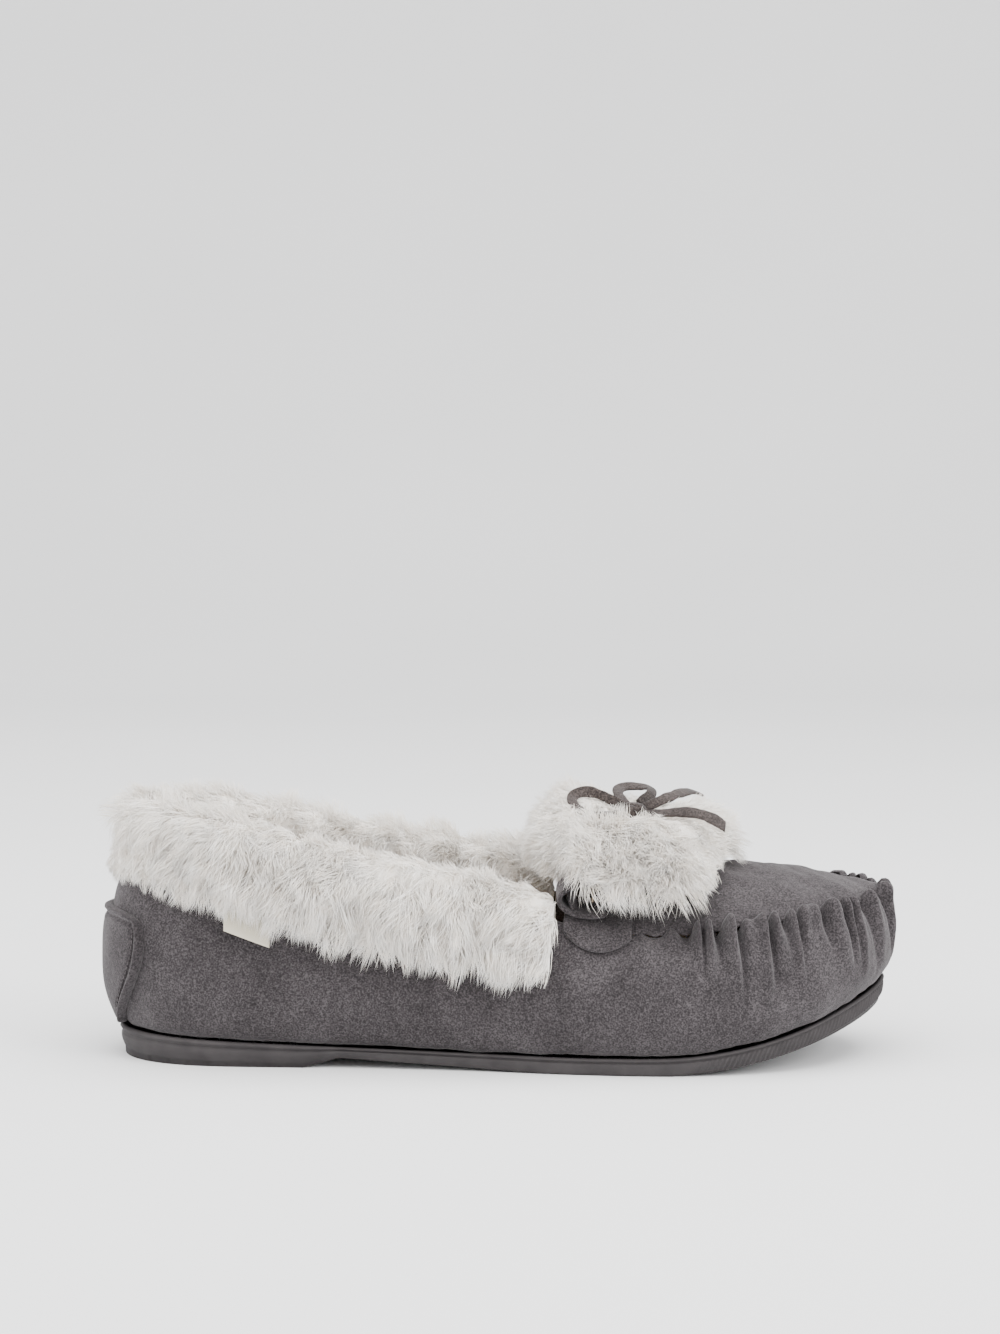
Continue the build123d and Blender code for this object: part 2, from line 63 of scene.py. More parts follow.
OUTLINE = [
    (-0.1233, 0), (-0.118, -0.016), (-0.104, -0.027), (-0.078, -0.032), (-0.045, -0.034),
    (-0.010, -0.0375), (0.028, -0.0435), (0.060, -0.045), (0.088, -0.0395), (0.109, -0.027),
    (0.121, -0.012), (0.1249, 0.003), (0.121, 0.018), (0.1095, 0.031), (0.089, 0.0415),
    (0.061, 0.0455), (0.030, 0.043), (-0.008, 0.037), (-0.045, 0.033), (-0.078, 0.031),
    (-0.104, 0.0265), (-0.118, 0.016),
]  # fmt: skip
SOLE_TOP = [(-0.126, 0.0098), (-0.060, 0.0072), (0, 0.0056), (0.032, 0.0054), (0.063, 0.0066),
            (0.080, 0.0094), (0.096, 0.0136), (0.111, 0.019), (0.126, 0.0245)]  # fmt: skip
TOP_EDGE = [(-0.125, 0.071), (-0.106, 0.070), (-0.080, 0.0665), (-0.048, 0.0605),
            (-0.016, 0.054), (0.009, 0.0485), (0.027, 0.044), (0.045, 0.043), (0.063, 0.044),
            (0.080, 0.0455), (0.095, 0.047), (0.110, 0.049), (0.125, 0.0505)]  # fmt: skip
TOP_INSET = [(-0.125, 0.009), (-0.100, 0.0065), (-0.060, 0.005), (-0.020, 0.0055), (0.008, 0.008),
             (0.030, 0.0105), (0.080, 0.010), (0.110, 0.008), (0.125, 0.0055)]  # fmt: skip
ROLL = [(-0.125, 42), (-0.020, 48), (0.020, 58), (0.060, 68), (0.125, 68)]
BULGE_AT, FEATHER_INSET = 0.35, 0.0045
SUEDE = 0.0015


def profile(knots, x):
    """A smooth curve through knots: between two of them, a cubic whose end slopes are each the
    mean slope over the knots beside it."""
    kx, ky = np.array(knots, float).T
    slope = np.gradient(ky, kx)
    x = np.clip(np.asarray(x, float), kx[0], kx[-1])
    i = np.clip(np.searchsorted(kx, x) - 1, 0, len(kx) - 2)
    h = kx[i + 1] - kx[i]
    t = (x - kx[i]) / h
    start = (1 + 2 * t) * (1 - t) ** 2 * ky[i] + t * (1 - t) ** 2 * h * slope[i]
    return start + t * t * (3 - 2 * t) * ky[i + 1] + t * t * (t - 1) * h * slope[i + 1]


def closed_curve(points, count=1440):
    """Even steps along the closed cubic spline through points, with outward normals. The spline's
    second derivatives solve one linear system, with the chord lengths as its steps."""
    p = np.array(points, float)
    n = len(p)
    h = np.linalg.norm(np.roll(p, -1, 0) - p, axis=1)
    left = np.roll(h, 1)
    rows = np.zeros((n, n))
    k = np.arange(n)
    rows[k, k] = 2 * (h + left)
    rows[k, (k + 1) % n] = h
    rows[k, k - 1] = left
    step = (np.roll(p, -1, 0) - p) / h[:, None]
    bend = np.linalg.solve(rows, 6 * (step - np.roll(step, 1, 0)))
    along = np.concatenate([[0], np.cumsum(h)])
    at = np.linspace(0, along[-1], 4 * count, endpoint=False)
    i = np.searchsorted(along, at, side="right") - 1
    j = (i + 1) % n
    a, b, w = (along[i + 1] - at)[:, None], (at - along[i])[:, None], h[i][:, None]
    line = (bend[i] * a**3 + bend[j] * b**3) / (6 * w)
    line += (p[i] / w - bend[i] * w / 6) * a + (p[j] / w - bend[j] * w / 6) * b
    line = np.vstack([line, line[:1]])
    length = np.concatenate([[0], np.cumsum(np.linalg.norm(np.diff(line, axis=0), axis=1))])
    even = np.linspace(0, length[-1], count, endpoint=False)
    place = np.stack([np.interp(even, length, line[:, c]) for c in (0, 1)], 1)
    ahead = np.roll(place, -1, 0) - np.roll(place, 1, 0)
    normal = np.stack([ahead[:, 1], -ahead[:, 0]], 1)
    normal /= np.linalg.norm(normal, axis=1)[:, None]
    return place, normal, float(length[-1])


PLACE, NORMAL, AROUND = closed_curve(OUTLINE)


def around(s, table):
    """A row of the outline's table at each station s, straight between the two nearest rows."""
    at = np.mod(np.asarray(s, float), 1) * len(table)
    i = np.floor(at).astype(int) % len(table)
    t = (at - np.floor(at))[..., None]
    return table[i] * (1 - t) + table[(i + 1) % len(table)] * t


def station(x, outer=True):
    """The station on the outer or inner side at this x."""
    half = len(PLACE) // 2
    rows = np.arange(half) if outer else np.arange(len(PLACE) - 1, half, -1)
    return float(np.interp(x, PLACE[rows, 0], rows / len(PLACE)))


def wall(s, v, out=0.0):
    """Points of the upper at stations s and rises v, moved out along its normal. A station is the
    share of the outline's length from the heel round the outer side, and v runs from 0 at the sole
    to 1 at the top. From the sole the wall swells out on a parabola, and above its widest it rolls
    in on an arc of ROLL degrees."""
    s, v, out = np.broadcast_arrays(*(np.asarray(a, float) for a in (s, v, out)))
    place, normal = around(s, PLACE), around(s, NORMAL)
    x = place[..., 0]
    low, high, inset_top = profile(SOLE_TOP, x), profile(TOP_EDGE, x), profile(TOP_INSET, x)
    roll = np.radians(profile(ROLL, x))
    widest = low + BULGE_AT * (high - low)
    down = np.clip(1 - v / BULGE_AT, 0, 1)
    angle = roll * np.clip((v - BULGE_AT) / (1 - BULGE_AT), 0, 1)
    upper = v > BULGE_AT
    z = np.where(upper, widest + (high - widest) * np.sin(angle) / np.sin(roll),
                 low + (widest - low) * (1 - down))  # fmt: skip
    inset = np.where(upper, inset_top * (1 - np.cos(angle)) / (1 - np.cos(roll)),
                     FEATHER_INSET * down**2)  # fmt: skip
    climb = np.where(upper, (high - widest) * np.cos(angle) / np.sin(roll) * roll,
                     (widest - low) * (1 - BULGE_AT) / BULGE_AT)  # fmt: skip
    lean = np.where(upper, inset_top * np.sin(angle) / (1 - np.cos(roll)) * roll,
                    -2 * FEATHER_INSET * down * (1 - BULGE_AT) / BULGE_AT)  # fmt: skip
    size = np.hypot(climb, lean)
    side = (out * climb / size - inset)[..., None] * normal
    return np.concatenate([place + side, (z + out * lean / size)[..., None]], -1)


def skin(name, points, faces, material):
    """A smooth mesh object from an array of points and its faces, all with one material."""
    mesh = bpy.data.meshes.new(name)
    mesh.from_pydata(np.asarray(points).reshape(-1, 3).tolist(), [], faces)
    mesh.materials.append(material)
    mesh.polygons.foreach_set("use_smooth", np.full(len(mesh.polygons), True))
    mesh.update()
    piece = bpy.data.objects.new(name, mesh)
    bpy.context.scene.collection.objects.link(piece)
    return piece


def quads(rows, columns, first=0, ring=False):
    """Faces of a grid of rows by columns of points. A ring joins its last column to its first."""
    i, j = np.meshgrid(np.arange(rows - 1), np.arange(columns - (not ring)), indexing="ij")
    k = (j + 1) % columns
    a, b, c, d = i * columns + j, i * columns + k, (i + 1) * columns + k, (i + 1) * columns + j
    return first + np.stack([a, b, c, d], -1).reshape(-1, 4)


def shell(outer, inner):
    """Points and faces of the closed sheet between two grids: both skins and four rims."""
    rows, columns = outer.shape[:2]
    far = rows * columns
    number = np.arange(far).reshape(rows, columns)
    rim = np.concatenate([number[0], number[1:, -1], number[-1, -2::-1], number[-2:0:-1, 0]])
    onward = np.roll(rim, -1)
    edge = np.stack([onward, rim, rim + far, onward + far], 1)
    back = quads(rows, columns, far)[:, ::-1]
    faces = np.vstack([quads(rows, columns), back, edge])
    return np.stack([outer, inner]), faces.tolist()


def rounded(rows, columns, row_share, column_share):
    """The thickness left near a sheet's edges, as a share: a quarter circle over these shares of
    the grid at its ends and sides. It stops short of zero, so that the rim has a face."""
    a = np.minimum(np.linspace(0, 1, rows), np.linspace(1, 0, rows)) / row_share
    b = np.minimum(np.linspace(0, 1, columns), np.linspace(1, 0, columns)) / column_share
    near = np.clip(np.minimum(a[:, None], b[None]), 0.02, 1)
    return np.sqrt(1 - (1 - near) ** 2)


def drift(points, size, seed):
    """A smooth value between about -1 and 1 over space: nine sine waves about this long, in seeded
    directions, added up."""
    rng = np.random.default_rng(seed)
    waves = rng.normal(size=(9, 3)) * 2 * np.pi / size / 1.7
    return np.sin(points @ waves.T + rng.uniform(0, 2 * np.pi, 9)).sum(-1) / 3


SUEDE_DARK = (0.023, 0.0200, 0.0212)
SUEDE_MID = (0.040, 0.0352, 0.0372)
SUEDE_LIGHT = (0.064, 0.0575, 0.0600)


def node(tree, kind, **values):
    """Adds a shader node and sets its properties, or its sockets by name."""
    new = tree.nodes.new(kind)
    for key, value in values.items():
        if hasattr(new, key):
            setattr(new, key, value)
        else:
            new.inputs[key.replace("_", " ")].default_value = value
    return new


def blank(name, **sockets):
    """A material with one Principled shader, and an Object texture coordinate to read from."""
    material = bpy.data.materials.new(name)
    material.use_nodes = True
    tree = material.node_tree
    shader = tree.nodes["Principled BSDF"]
    for socket, value in sockets.items():
        shader.inputs[socket.replace("_", " ")].default_value = value
    return material, tree, shader, node(tree, "ShaderNodeTexCoord").outputs["Object"]


def mottle(tree, where, scale, detail, colours, stops, distortion=0.0):
    """Noise on a coordinate, spread over colours at these stops."""
    noise = node(tree, "ShaderNodeTexNoise", Scale=scale, Detail=detail, Distortion=distortion)
    ramp = node(tree, "ShaderNodeValToRGB")
    tree.links.new(where, noise.inputs["Vector"])
    tree.links.new(noise.outputs["Fac"], ramp.inputs["Fac"])
    while len(ramp.color_ramp.elements) < len(colours):
        ramp.color_ramp.elements.new(0.5)
    for element, stop, colour in zip(ramp.color_ramp.elements, stops, colours):
        element.position = stop
        element.color = (*colour, 1)
    return ramp.outputs["Color"]


def mixed(tree, share, first, second, blend="MIX"):
    """Two colours mixed: share is a number or a socket."""
    mix = node(tree, "ShaderNodeMix", data_type="RGBA", blend_type=blend)
    for socket, value in zip((mix.inputs[0], mix.inputs[6], mix.inputs[7]), (share, first, second)):
        if isinstance(value, bpy.types.NodeSocket):
            tree.links.new(value, socket)
        else:
            socket.default_value = value
    return mix.outputs[2]


def bumps(tree, shader, where, layers):
    """Relief from noise layers, each (scale, detail, height in metres, strength)."""
    below = None
    for scale, detail, height, strength in layers:
        noise = node(tree, "ShaderNodeTexNoise", Scale=scale, Detail=detail)
        bump = node(tree, "ShaderNodeBump", Distance=height, Strength=strength)
        tree.links.new(where, noise.inputs["Vector"])
        tree.links.new(noise.outputs["Fac"], bump.inputs["Height"])
        if below:
            tree.links.new(below, bump.inputs["Normal"])
        below = bump.outputs["Normal"]
    tree.links.new(below, shader.inputs["Normal"])


def suede(name, dark, mid, light):
    """Brushed suede: broad finger marks, finer mottling and a short fibrous nap."""
    material, tree, shader, where = blank(
        name, Roughness=0.95, Specular_IOR_Level=0.12, Sheen_Weight=0.18, Sheen_Roughness=0.5,
        Sheen_Tint=(0.85, 0.82, 0.83, 1))  # fmt: skip
    broad = mottle(tree, where, 75, 3, (dark, mid, light), (0.30, 0.52, 0.78), 0.6)
    fine = mottle(tree, where, 900, 4, (dark, mid, light), (0.28, 0.50, 0.74))
    nap = mottle(tree, where, 1900, 3, ((0.35,) * 3, (1.0,) * 3, (1.9,) * 3), (0.36, 0.50, 0.64))
    colour = mixed(tree, 0.45, broad, fine)
    colour = mixed(tree, 0.75, colour, nap, "MULTIPLY")
    tree.links.new(colour, shader.inputs["Base Color"])
    bumps(tree, shader, where, [(420, 4, 0.0006, 0.35), (2600, 3, 0.0004, 0.55)])
    return material


grey_suede = suede("grey_suede", SUEDE_DARK, SUEDE_MID, SUEDE_LIGHT)

VAMP_ROWS, VAMP_COLUMNS = 42, 860
BACK_SEAM = 0.0012
PLEATS, PLEAT_FROM, PLEAT_HEIGHT = 30, 0.041, 0.0062


def pleats(s, v):
    """How far the gathered suede stands out: ridges that are round on top with sharp valleys,
    |sin| of the pleat count, deepest just under the seam and fading out down the wall."""
    first, last = station(PLEAT_FROM), station(PLEAT_FROM, outer=False)
    share = (s - first) / (last - first)
    count = share * PLEATS
    count = count + 0.30 * np.sin(1.7 * count + 0.8) + 0.16 * np.sin(4.1 * count)
    count = count + 0.22 * (1 - v) * np.sin(2.3 * count + 1.0)
    ridge = (0.5 - 0.5 * np.cos(2 * np.pi * count)) ** 0.6
    present = np.clip(share / 0.10, 0, 1) * np.clip((1 - share) / 0.10, 0, 1)
    reach = 0.58 - 0.14 * np.sin(0.9 * count) - 0.09 * np.sin(2.9 * count + 2)
    reach = reach + 0.10 * np.cos(2 * np.pi * (share - 0.5))
    fade = np.clip((v - (1 - reach)) / reach, 0, 1) ** 1.1
    size = PLEAT_HEIGHT * (1 + 0.25 * np.sin(1.3 * count + 2.0) + 0.15 * np.sin(3.3 * count))
    puff = 1 + 0.35 * np.exp(-(((v - 0.90) / 0.07) ** 2))
    puff = puff - 0.25 * np.clip((v - 0.955) / 0.045, 0, 1)
    return size * fade * present * (ridge - 0.36) * puff


def make_vamp():
    """The wall from heel seam to heel seam, in finer steps round the toe. It is moved out by the
    pleats and a faint unevenness, and the tops of the pleats also stand higher than the rest."""
    u = np.linspace(0, 1, VAMP_COLUMNS)[None]
    s = BACK_SEAM + (1 - 2 * BACK_SEAM) * (u + 0.045 * np.sin(2 * np.pi * u))
    v = np.linspace(0.006, 1, VAMP_ROWS)[:, None]
    middle = wall(s, v)
    relief = pleats(s, v) + 0.00035 * drift(middle, 0.020, 11) + 0.00012 * drift(middle, 0.006, 12)
    half = SUEDE / 2 * rounded(VAMP_ROWS, VAMP_COLUMNS, 1.5 / VAMP_ROWS, 1.5 / VAMP_COLUMNS)
    skins = [wall(s, v, relief - SUEDE / 2 + side * half) for side in (1, -1)]
    stands = np.clip(pleats(s, 0.97) / 0.0016, -0.5, 1)
    rise = 0.0015 * stands * np.clip((v - 0.78) / 0.22, 0, 1) ** 2
    for face in skins:
        face[..., 2] += rise
    return shell(*skins)


vamp = skin("vamp_suede", *make_vamp(), grey_suede)
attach(vamp, "slipper")
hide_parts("vamp")

# ---- apron ---------------------------------------------------------------------------------------
# The suede panel on top of the foot, inside the gathered seam. It is sewn to the vamp with the
# gathers pushed up round it, so that it lies a little below their tops.

APRON_REAR, APRON_INSET = 0.0276, -0.0004
CROWN = [(0.020, 0.012), (0.045, 0.013), (0.063, 0.0145), (0.075, 0.0143), (0.095, 0.010),
         (0.111, 0.0045), (0.120, 0.0015), (0.126, 0.0008)]  # fmt: skip


def apron_sheet(rows, columns, drop, inset):
    """Rows across the foot between matching stations of the seam, raised by the crown times one
    less the square of the share across, less drop along the sheet's own fall."""
    k = np.linspace(0, 1, rows) ** 0.9
    s_outer = station(APRON_REAR) + (0.4985 - station(APRON_REAR)) * k
    s_inner = station(APRON_REAR, outer=False) + (0.5015 - station(APRON_REAR, outer=False)) * k
    outer, inner = wall(s_outer, 1.0), wall(s_inner, 1.0)
    outer[:, :2] -= inset * around(s_outer, NORMAL)
    inner[:, :2] -= inset * around(s_inner, NORMAL)
    t = np.linspace(-1, 1, columns)[None]
    points = outer[:, None] * (1 - t[..., None]) / 2 + inner[:, None] * (1 + t[..., None]) / 2
    points[..., 2] += profile(CROWN, points[..., 0]) * (1 - np.abs(t) ** 2.2) - drop
    return points


def make_apron():
    """The sheet a little above the seam, with a faint unevenness and small puckers near its sides,
    thickened by half the suede up and half down."""
    rows, columns = 150, 90
    middle = apron_sheet(rows, columns, 0.0004, APRON_INSET)
    t = np.abs(np.linspace(-1, 1, columns))[None]
    relief = 0.0004 * drift(middle, 0.024, 21) + 0.00015 * drift(middle, 0.007, 22)
    relief += 0.0004 * np.sin(1300 * middle[..., 0]) * np.clip(t - 0.72, 0, 1) * 2
    half = SUEDE / 2 * rounded(rows, columns, 1.5 / rows, 1.5 / columns)
    up = np.array([0, 0, 1.0])
    return shell(middle + (relief - half)[..., None] * up, middle + (relief + half)[..., None] * up)


apron = skin("apron_suede", *make_apron(), grey_suede)
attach(apron, "slipper")
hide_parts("apron")

# ---- throat tabs ---------------------------------------------------------------------------------
# At each end of the gathered seam the apron has a rounded wing. It is lapped over the top edge of
# the vamp and sewn down along its curve, and takes the pull when the foot goes in.

TAB_FROM, TAB_TO = 0.018, 0.0395


def tab_rim(k):
    """The rise of a wing's lower edge at share k of its length: the root of half a sine wave."""
    return 0.985 - 0.20 * np.sqrt(np.clip(np.sin(np.pi * (0.04 + 0.92 * k)), 0, 1))


def make_tab(outer):
    """A sheet that climbs the wall from a curved lower edge, then runs inwards over the apron."""
    rows, columns = 34, 46
    ends = sorted((station(TAB_FROM, outer), station(TAB_TO, outer)))
    k = np.linspace(0, 1, columns)[None]
    s = ends[0] + (ends[1] - ends[0]) * k
    low = tab_rim(k)
    t = np.linspace(0, 1, rows)[:, None]
    v = low + (1 - low) * np.clip(t / 0.62, 0, 1)
    half = SUEDE / 2 * rounded(rows, columns, 2 / rows, 2 / columns)
    lift = 0.0003 + SUEDE / 2 + 0.0002 * drift(wall(s, v), 0.009, 31)
    inward = 0.0085 * np.clip((t - 0.62) / 0.38, 0, 1) + 0 * s
    skins = []
    for side in (1, -1):
        points = wall(s, v, lift + side * half)
        points[..., :2] -= inward[..., None] * around(s, NORMAL)
        points[..., 2] += 0.72 * inward
        skins.append(points)
    return shell(*skins)


for tab_name, outer in (("throat_tab_outer", True), ("throat_tab_inner", False)):
    tab = skin(tab_name + "_suede", *make_tab(outer), grey_suede)
    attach(tab, "slipper")
    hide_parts(tab_name)

# ---- folded tongue -------------------------------------------------------------------------------
# The tongue comes up at the throat, rolls back over itself in a soft fold and lies forwards over
# the apron. Only its rolled ends show, below the fur.

FOLD_X, FOLD_RADIUS, FOLD_START = 0.027, 0.005, 232
TONGUE_FRONT, CUFF_FRONT, TONGUE_HALF_WIDTH = 0.065, 0.074, 0.033
FOLD_Z = float(profile(TOP_EDGE, FOLD_X) + profile(CROWN, FOLD_X)) + FOLD_RADIUS + SUEDE + 0.0004


def tongue_path(out, start, front, turns=25, steps=22):
    """The tongue's line in side view: an arc round the fold from start degrees to its top, then
    forwards and down to the apron with a slight rise in the middle."""
    turn = np.radians(np.linspace(start, 90, turns))
    radius = FOLD_RADIUS + out
    fold = np.stack([FOLD_X + radius * np.cos(turn), FOLD_Z + radius * np.sin(turn)], 1)
    x = np.linspace(FOLD_X, front, steps)[1:]
    share = (x - FOLD_X) / (CUFF_FRONT - FOLD_X)
    resting = profile(TOP_EDGE, x) + profile(CROWN, x) + 0.0015
    z = (FOLD_Z + FOLD_RADIUS) * (1 - share) + resting * share + 0.0025 * np.sin(np.pi * share)
    return np.vstack([fold, np.stack([x, z + out], 1)])


def across(path, half_width, count):
    """Carries a side-view line across the foot. It drops to each side with the apron's crown."""
    t = np.linspace(-1, 1, count)[None]
    y = np.broadcast_to(half_width, len(path))[:, None] * t
    x = path[:, :1] + 0 * t
    sag = profile(CROWN, x) * (y / 0.036) ** 2
    return np.stack([x, y, path[:, 1:] - sag], -1)


def make_tongue():
    """The side-view line carried across the foot, narrower to the front by a cube, and thickened by
    half the suede each way along the line's normal."""
    count = 50
    middle = tongue_path(SUEDE / 2, FOLD_START, TONGUE_FRONT)
    width = TONGUE_HALF_WIDTH - 0.005 * np.linspace(0, 1, len(middle)) ** 3
    half = SUEDE / 2 * rounded(len(middle), count, 1.5 / len(middle), 1.5 / count)
    sheet = across(middle, width, count)
    ahead = np.gradient(middle, axis=0)
    normal = np.stack([-ahead[:, 1], 0 * ahead[:, 0], ahead[:, 0]], 1)
    normal /= np.linalg.norm(normal, axis=1)[:, None]
    step = half[..., None] * normal[:, None]
    return shell(sheet + step, sheet - step)


tongue = skin("tongue_suede", *make_tongue(), grey_suede)
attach(tongue, "cuff")
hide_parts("tongue")

# ---- side folds ----------------------------------------------------------------------------------
# On each side the tongue's edge doubles back between the wing and the cuff, and leaves a small open
# loop of suede whose ends are caught in the throat's stitching.

LOOP_X, LOOP_Z, LOOP_LONG, LOOP_TALL = 0.0278, 0.0528, 0.0098, 0.0050
LOOP_OUTSIDE, LOOP_INSIDE, LOOP_CLIMB = 0.0350, 0.0225, 0.0025


def make_fold(side):
    """A strip bent round most of a flat ellipse in side view, carried across the foot and climbing
    evenly towards its middle."""
    rows, columns = 44, 16
    turn = np.radians(np.linspace(-62, -292, rows))
    across_foot = side * np.linspace(LOOP_OUTSIDE, LOOP_INSIDE, columns)[None]
    half = SUEDE / 2 * rounded(rows, columns, 1.5 / rows, 1.5 / columns)
    skins = []
    for face in (1, -1):
        x = LOOP_X + (LOOP_LONG + face * half) * np.cos(turn)[:, None]
        z = LOOP_Z + (LOOP_TALL + face * half) * np.sin(turn)[:, None]
        inwards = (LOOP_OUTSIDE - np.abs(across_foot)) / (LOOP_OUTSIDE - LOOP_INSIDE)
        z = z + LOOP_CLIMB * inwards
        skins.append(np.stack([x, across_foot + 0 * x, z], -1))
    return shell(*skins) if side > 0 else shell(*[face[:, ::-1] for face in skins])


for fold_name, side in (("fold_outer", -1), ("fold_inner", 1)):
    fold = skin(fold_name + "_suede", *make_fold(side), grey_suede)
    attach(fold, "slipper")

# ---- fur collar ----------------------------------------------------------------------------------
# A band of long off-white faux fur, sewn inside the top edge, turned over it and left hanging
# outside. It runs from the throat round the heel and back, deepest at the front, and its fibres lie
# together in tufts.

FUR_SHADE, FUR_LIGHT = (0.93, 0.87, 0.79), (0.985, 0.96, 0.92)

fur_material, tree, shader, where = blank(
    "fur", Roughness=0.85, Specular_IOR_Level=0.12, Sheen_Weight=0.25, Sheen_Roughness=0.4,
    Sheen_Tint=(1, 0.98, 0.95, 1))  # fmt: skip
fur_colour = mottle(tree, where, 260, 3, (FUR_SHADE, FUR_LIGHT), (0.30, 0.66))
tree.links.new(fur_colour, shader.inputs["Base Color"])


def sample(grid, a, b):
    """Values of a grid at shares a of its rows and b of its columns, blended from four corners."""
    x, y = a * (grid.shape[0] - 1), b * (grid.shape[1] - 1)
    i = np.clip(x.astype(int), 0, grid.shape[0] - 2)
    j = np.clip(y.astype(int), 0, grid.shape[1] - 2)
    p, q = (x - i)[:, None], (y - j)[:, None]
    g = grid if grid.ndim == 3 else grid[..., None]
    return ((g[i, j] * (1 - q) + g[i, j + 1] * q) * (1 - p)
            + (g[i + 1, j] * (1 - q) + g[i + 1, j + 1] * q) * p)  # fmt: skip


def unit(vectors):
    """Vectors divided by their own lengths."""
    return vectors / np.maximum(np.linalg.norm(vectors, axis=-1, keepdims=True), 1e-9)


HAIR_RINGS = ((0.0, 1.0), (0.38, 0.92), (0.72, 0.62))
HAIR_FACES = [
    *[(3 * k + j, 3 * k + (j + 1) % 3, 3 * k + 3 + (j + 1) % 3, 3 * k + 3 + j)
      for k in (0, 1) for j in range(3)],
    *[(6 + j, 6 + (j + 1) % 3, 9) for j in range(3)],
    (2, 1, 0),
]  # fmt: skip


def hairs(name, roots, middles, tips, width, material):
    """Closed hairs: each follows a quadratic curve from its root, pulled towards its middle point,
    to its tip, as three triangles round it that shrink to a point."""
    ahead = unit(tips - roots)
    side = unit(np.cross(ahead, np.roll(ahead, 1, axis=1) + (0.3, -0.2, 0.5)))
    over = np.cross(ahead, side)
    corners = []
    for t, share in HAIR_RINGS:
        centre = (1 - t) ** 2 * roots + 2 * t * (1 - t) * middles + t * t * tips
        for turn in (0, 2 * np.pi / 3, 4 * np.pi / 3):
            corners.append(centre + share * width * (np.cos(turn) * side + np.sin(turn) * over))
    points = np.stack([*corners, tips], 1)
    first = 10 * np.arange(len(roots))[:, None]
    four = (first[:, None] + np.array(HAIR_FACES[:6])[None]).reshape(-1, 4).tolist()
    three = (first[:, None] + np.array(HAIR_FACES[6:])[None]).reshape(-1, 3).tolist()
    return skin(name, points, four + three, material)


def coat(name, surface, flow, length, lean, tufts, per_tuft, seed, spread=0.0021, width=0.00012,
         gather=0.62, droop=0.12, wild=0.22):  # fmt: skip
    """Hairs over a surface, in tufts. Tufts are placed by area. A hair's root lies at random round
    its tuft's, it leaves along the surface's normal and leans to the flow, and its tip is drawn
    part of the way to the tuft's own tip."""
    rng = np.random.default_rng(seed)
    du, dv = np.gradient(surface, axis=0), np.gradient(surface, axis=1)
    normal = unit(np.cross(dv, du))
    area = np.linalg.norm(np.cross(dv, du), axis=-1)[:-1, :-1]
    cells = rng.choice(area.size, tufts, p=(area / area.sum()).ravel())
    rows, columns = surface.shape[:2]
    a = (cells // (columns - 1) + rng.uniform(size=tufts)) / (rows - 1)
    b = (cells % (columns - 1) + rng.uniform(size=tufts)) / (columns - 1)
    tuft = np.repeat(np.arange(tufts), per_tuft)
    reach_a = sample(np.linalg.norm(du, axis=-1), a, b)[:, 0] * (rows - 1)
    reach_b = sample(np.linalg.norm(dv, axis=-1), a, b)[:, 0] * (columns - 1)
    offset = rng.normal(size=(len(tuft), 2)) * spread
    aa = np.abs(a[tuft] + offset[:, 0] / reach_a[tuft])
    bb = np.abs(b[tuft] + offset[:, 1] / reach_b[tuft])
    aa, bb = 1 - np.abs(1 - aa), 1 - np.abs(1 - bb)

    def grown(a, b, reach, stray):
        """Root, middle and tip of hairs at these places."""
        root, out = sample(surface, a, b), unit(sample(normal, a, b))
        along, bent = unit(sample(flow, a, b)), sample(lean, a, b)
        size = sample(length, a, b) * reach[:, None]
        along = unit(along + 0.55 * np.stack([drift(root, 0.016, seed + q) for q in (1, 2, 3)], 1))
        toward = unit(out * (1 - bent) + along * bent + stray) + (0, 0, -droop)
        return root, root + size * 0.5 * unit(out * 1.1 + toward), root + size * toward

    own = grown(aa, bb, rng.uniform(0.72, 1.08, len(tuft)), wild * rng.normal(size=(len(tuft), 3)))
    shared = grown(a, b, rng.uniform(0.85, 1.2, tufts), 0.26 * rng.normal(size=(tufts, 3)))
    hold = (gather * rng.uniform(0.55, 1.25, tufts))[tuft][:, None].clip(0, 0.92)
    tips = own[2] * (1 - hold) + shared[2][tuft] * hold
    middles = own[1] * (1 - 0.35 * hold) + shared[1][tuft] * 0.35 * hold
    wide = width * rng.uniform(0.75, 1.2, len(tuft))[:, None]
    return hairs(name, own[0] - 0.0006 * unit(own[1] - own[0]), middles, tips, wide, fur_material)


COLLAR_FRONT, COLLAR_GAP = 0.0150, 0.0017
LINING, GAP, STIFFENER = 0.0032, 0.00015, 0.001


def behind_stiffener(s):
    """How much deeper the lining lies behind the heel counter."""
    from_heel = np.mod(np.asarray(s) + 0.5, 1) - 0.5
    return (STIFFENER + GAP) * np.exp(-((from_heel / 0.14) ** 4))


def heelward(x):
    """0 along the sides, rising evenly to 1 at the back of the heel."""
    return np.clip((-0.085 - x) / 0.025, 0, 1)


def pressed(x, y):
    """0 to 1 where the outer side's crest lies lower, from the heel forwards."""
    return np.clip((x + 0.085) / 0.030, 0, 1) * (y < 0)


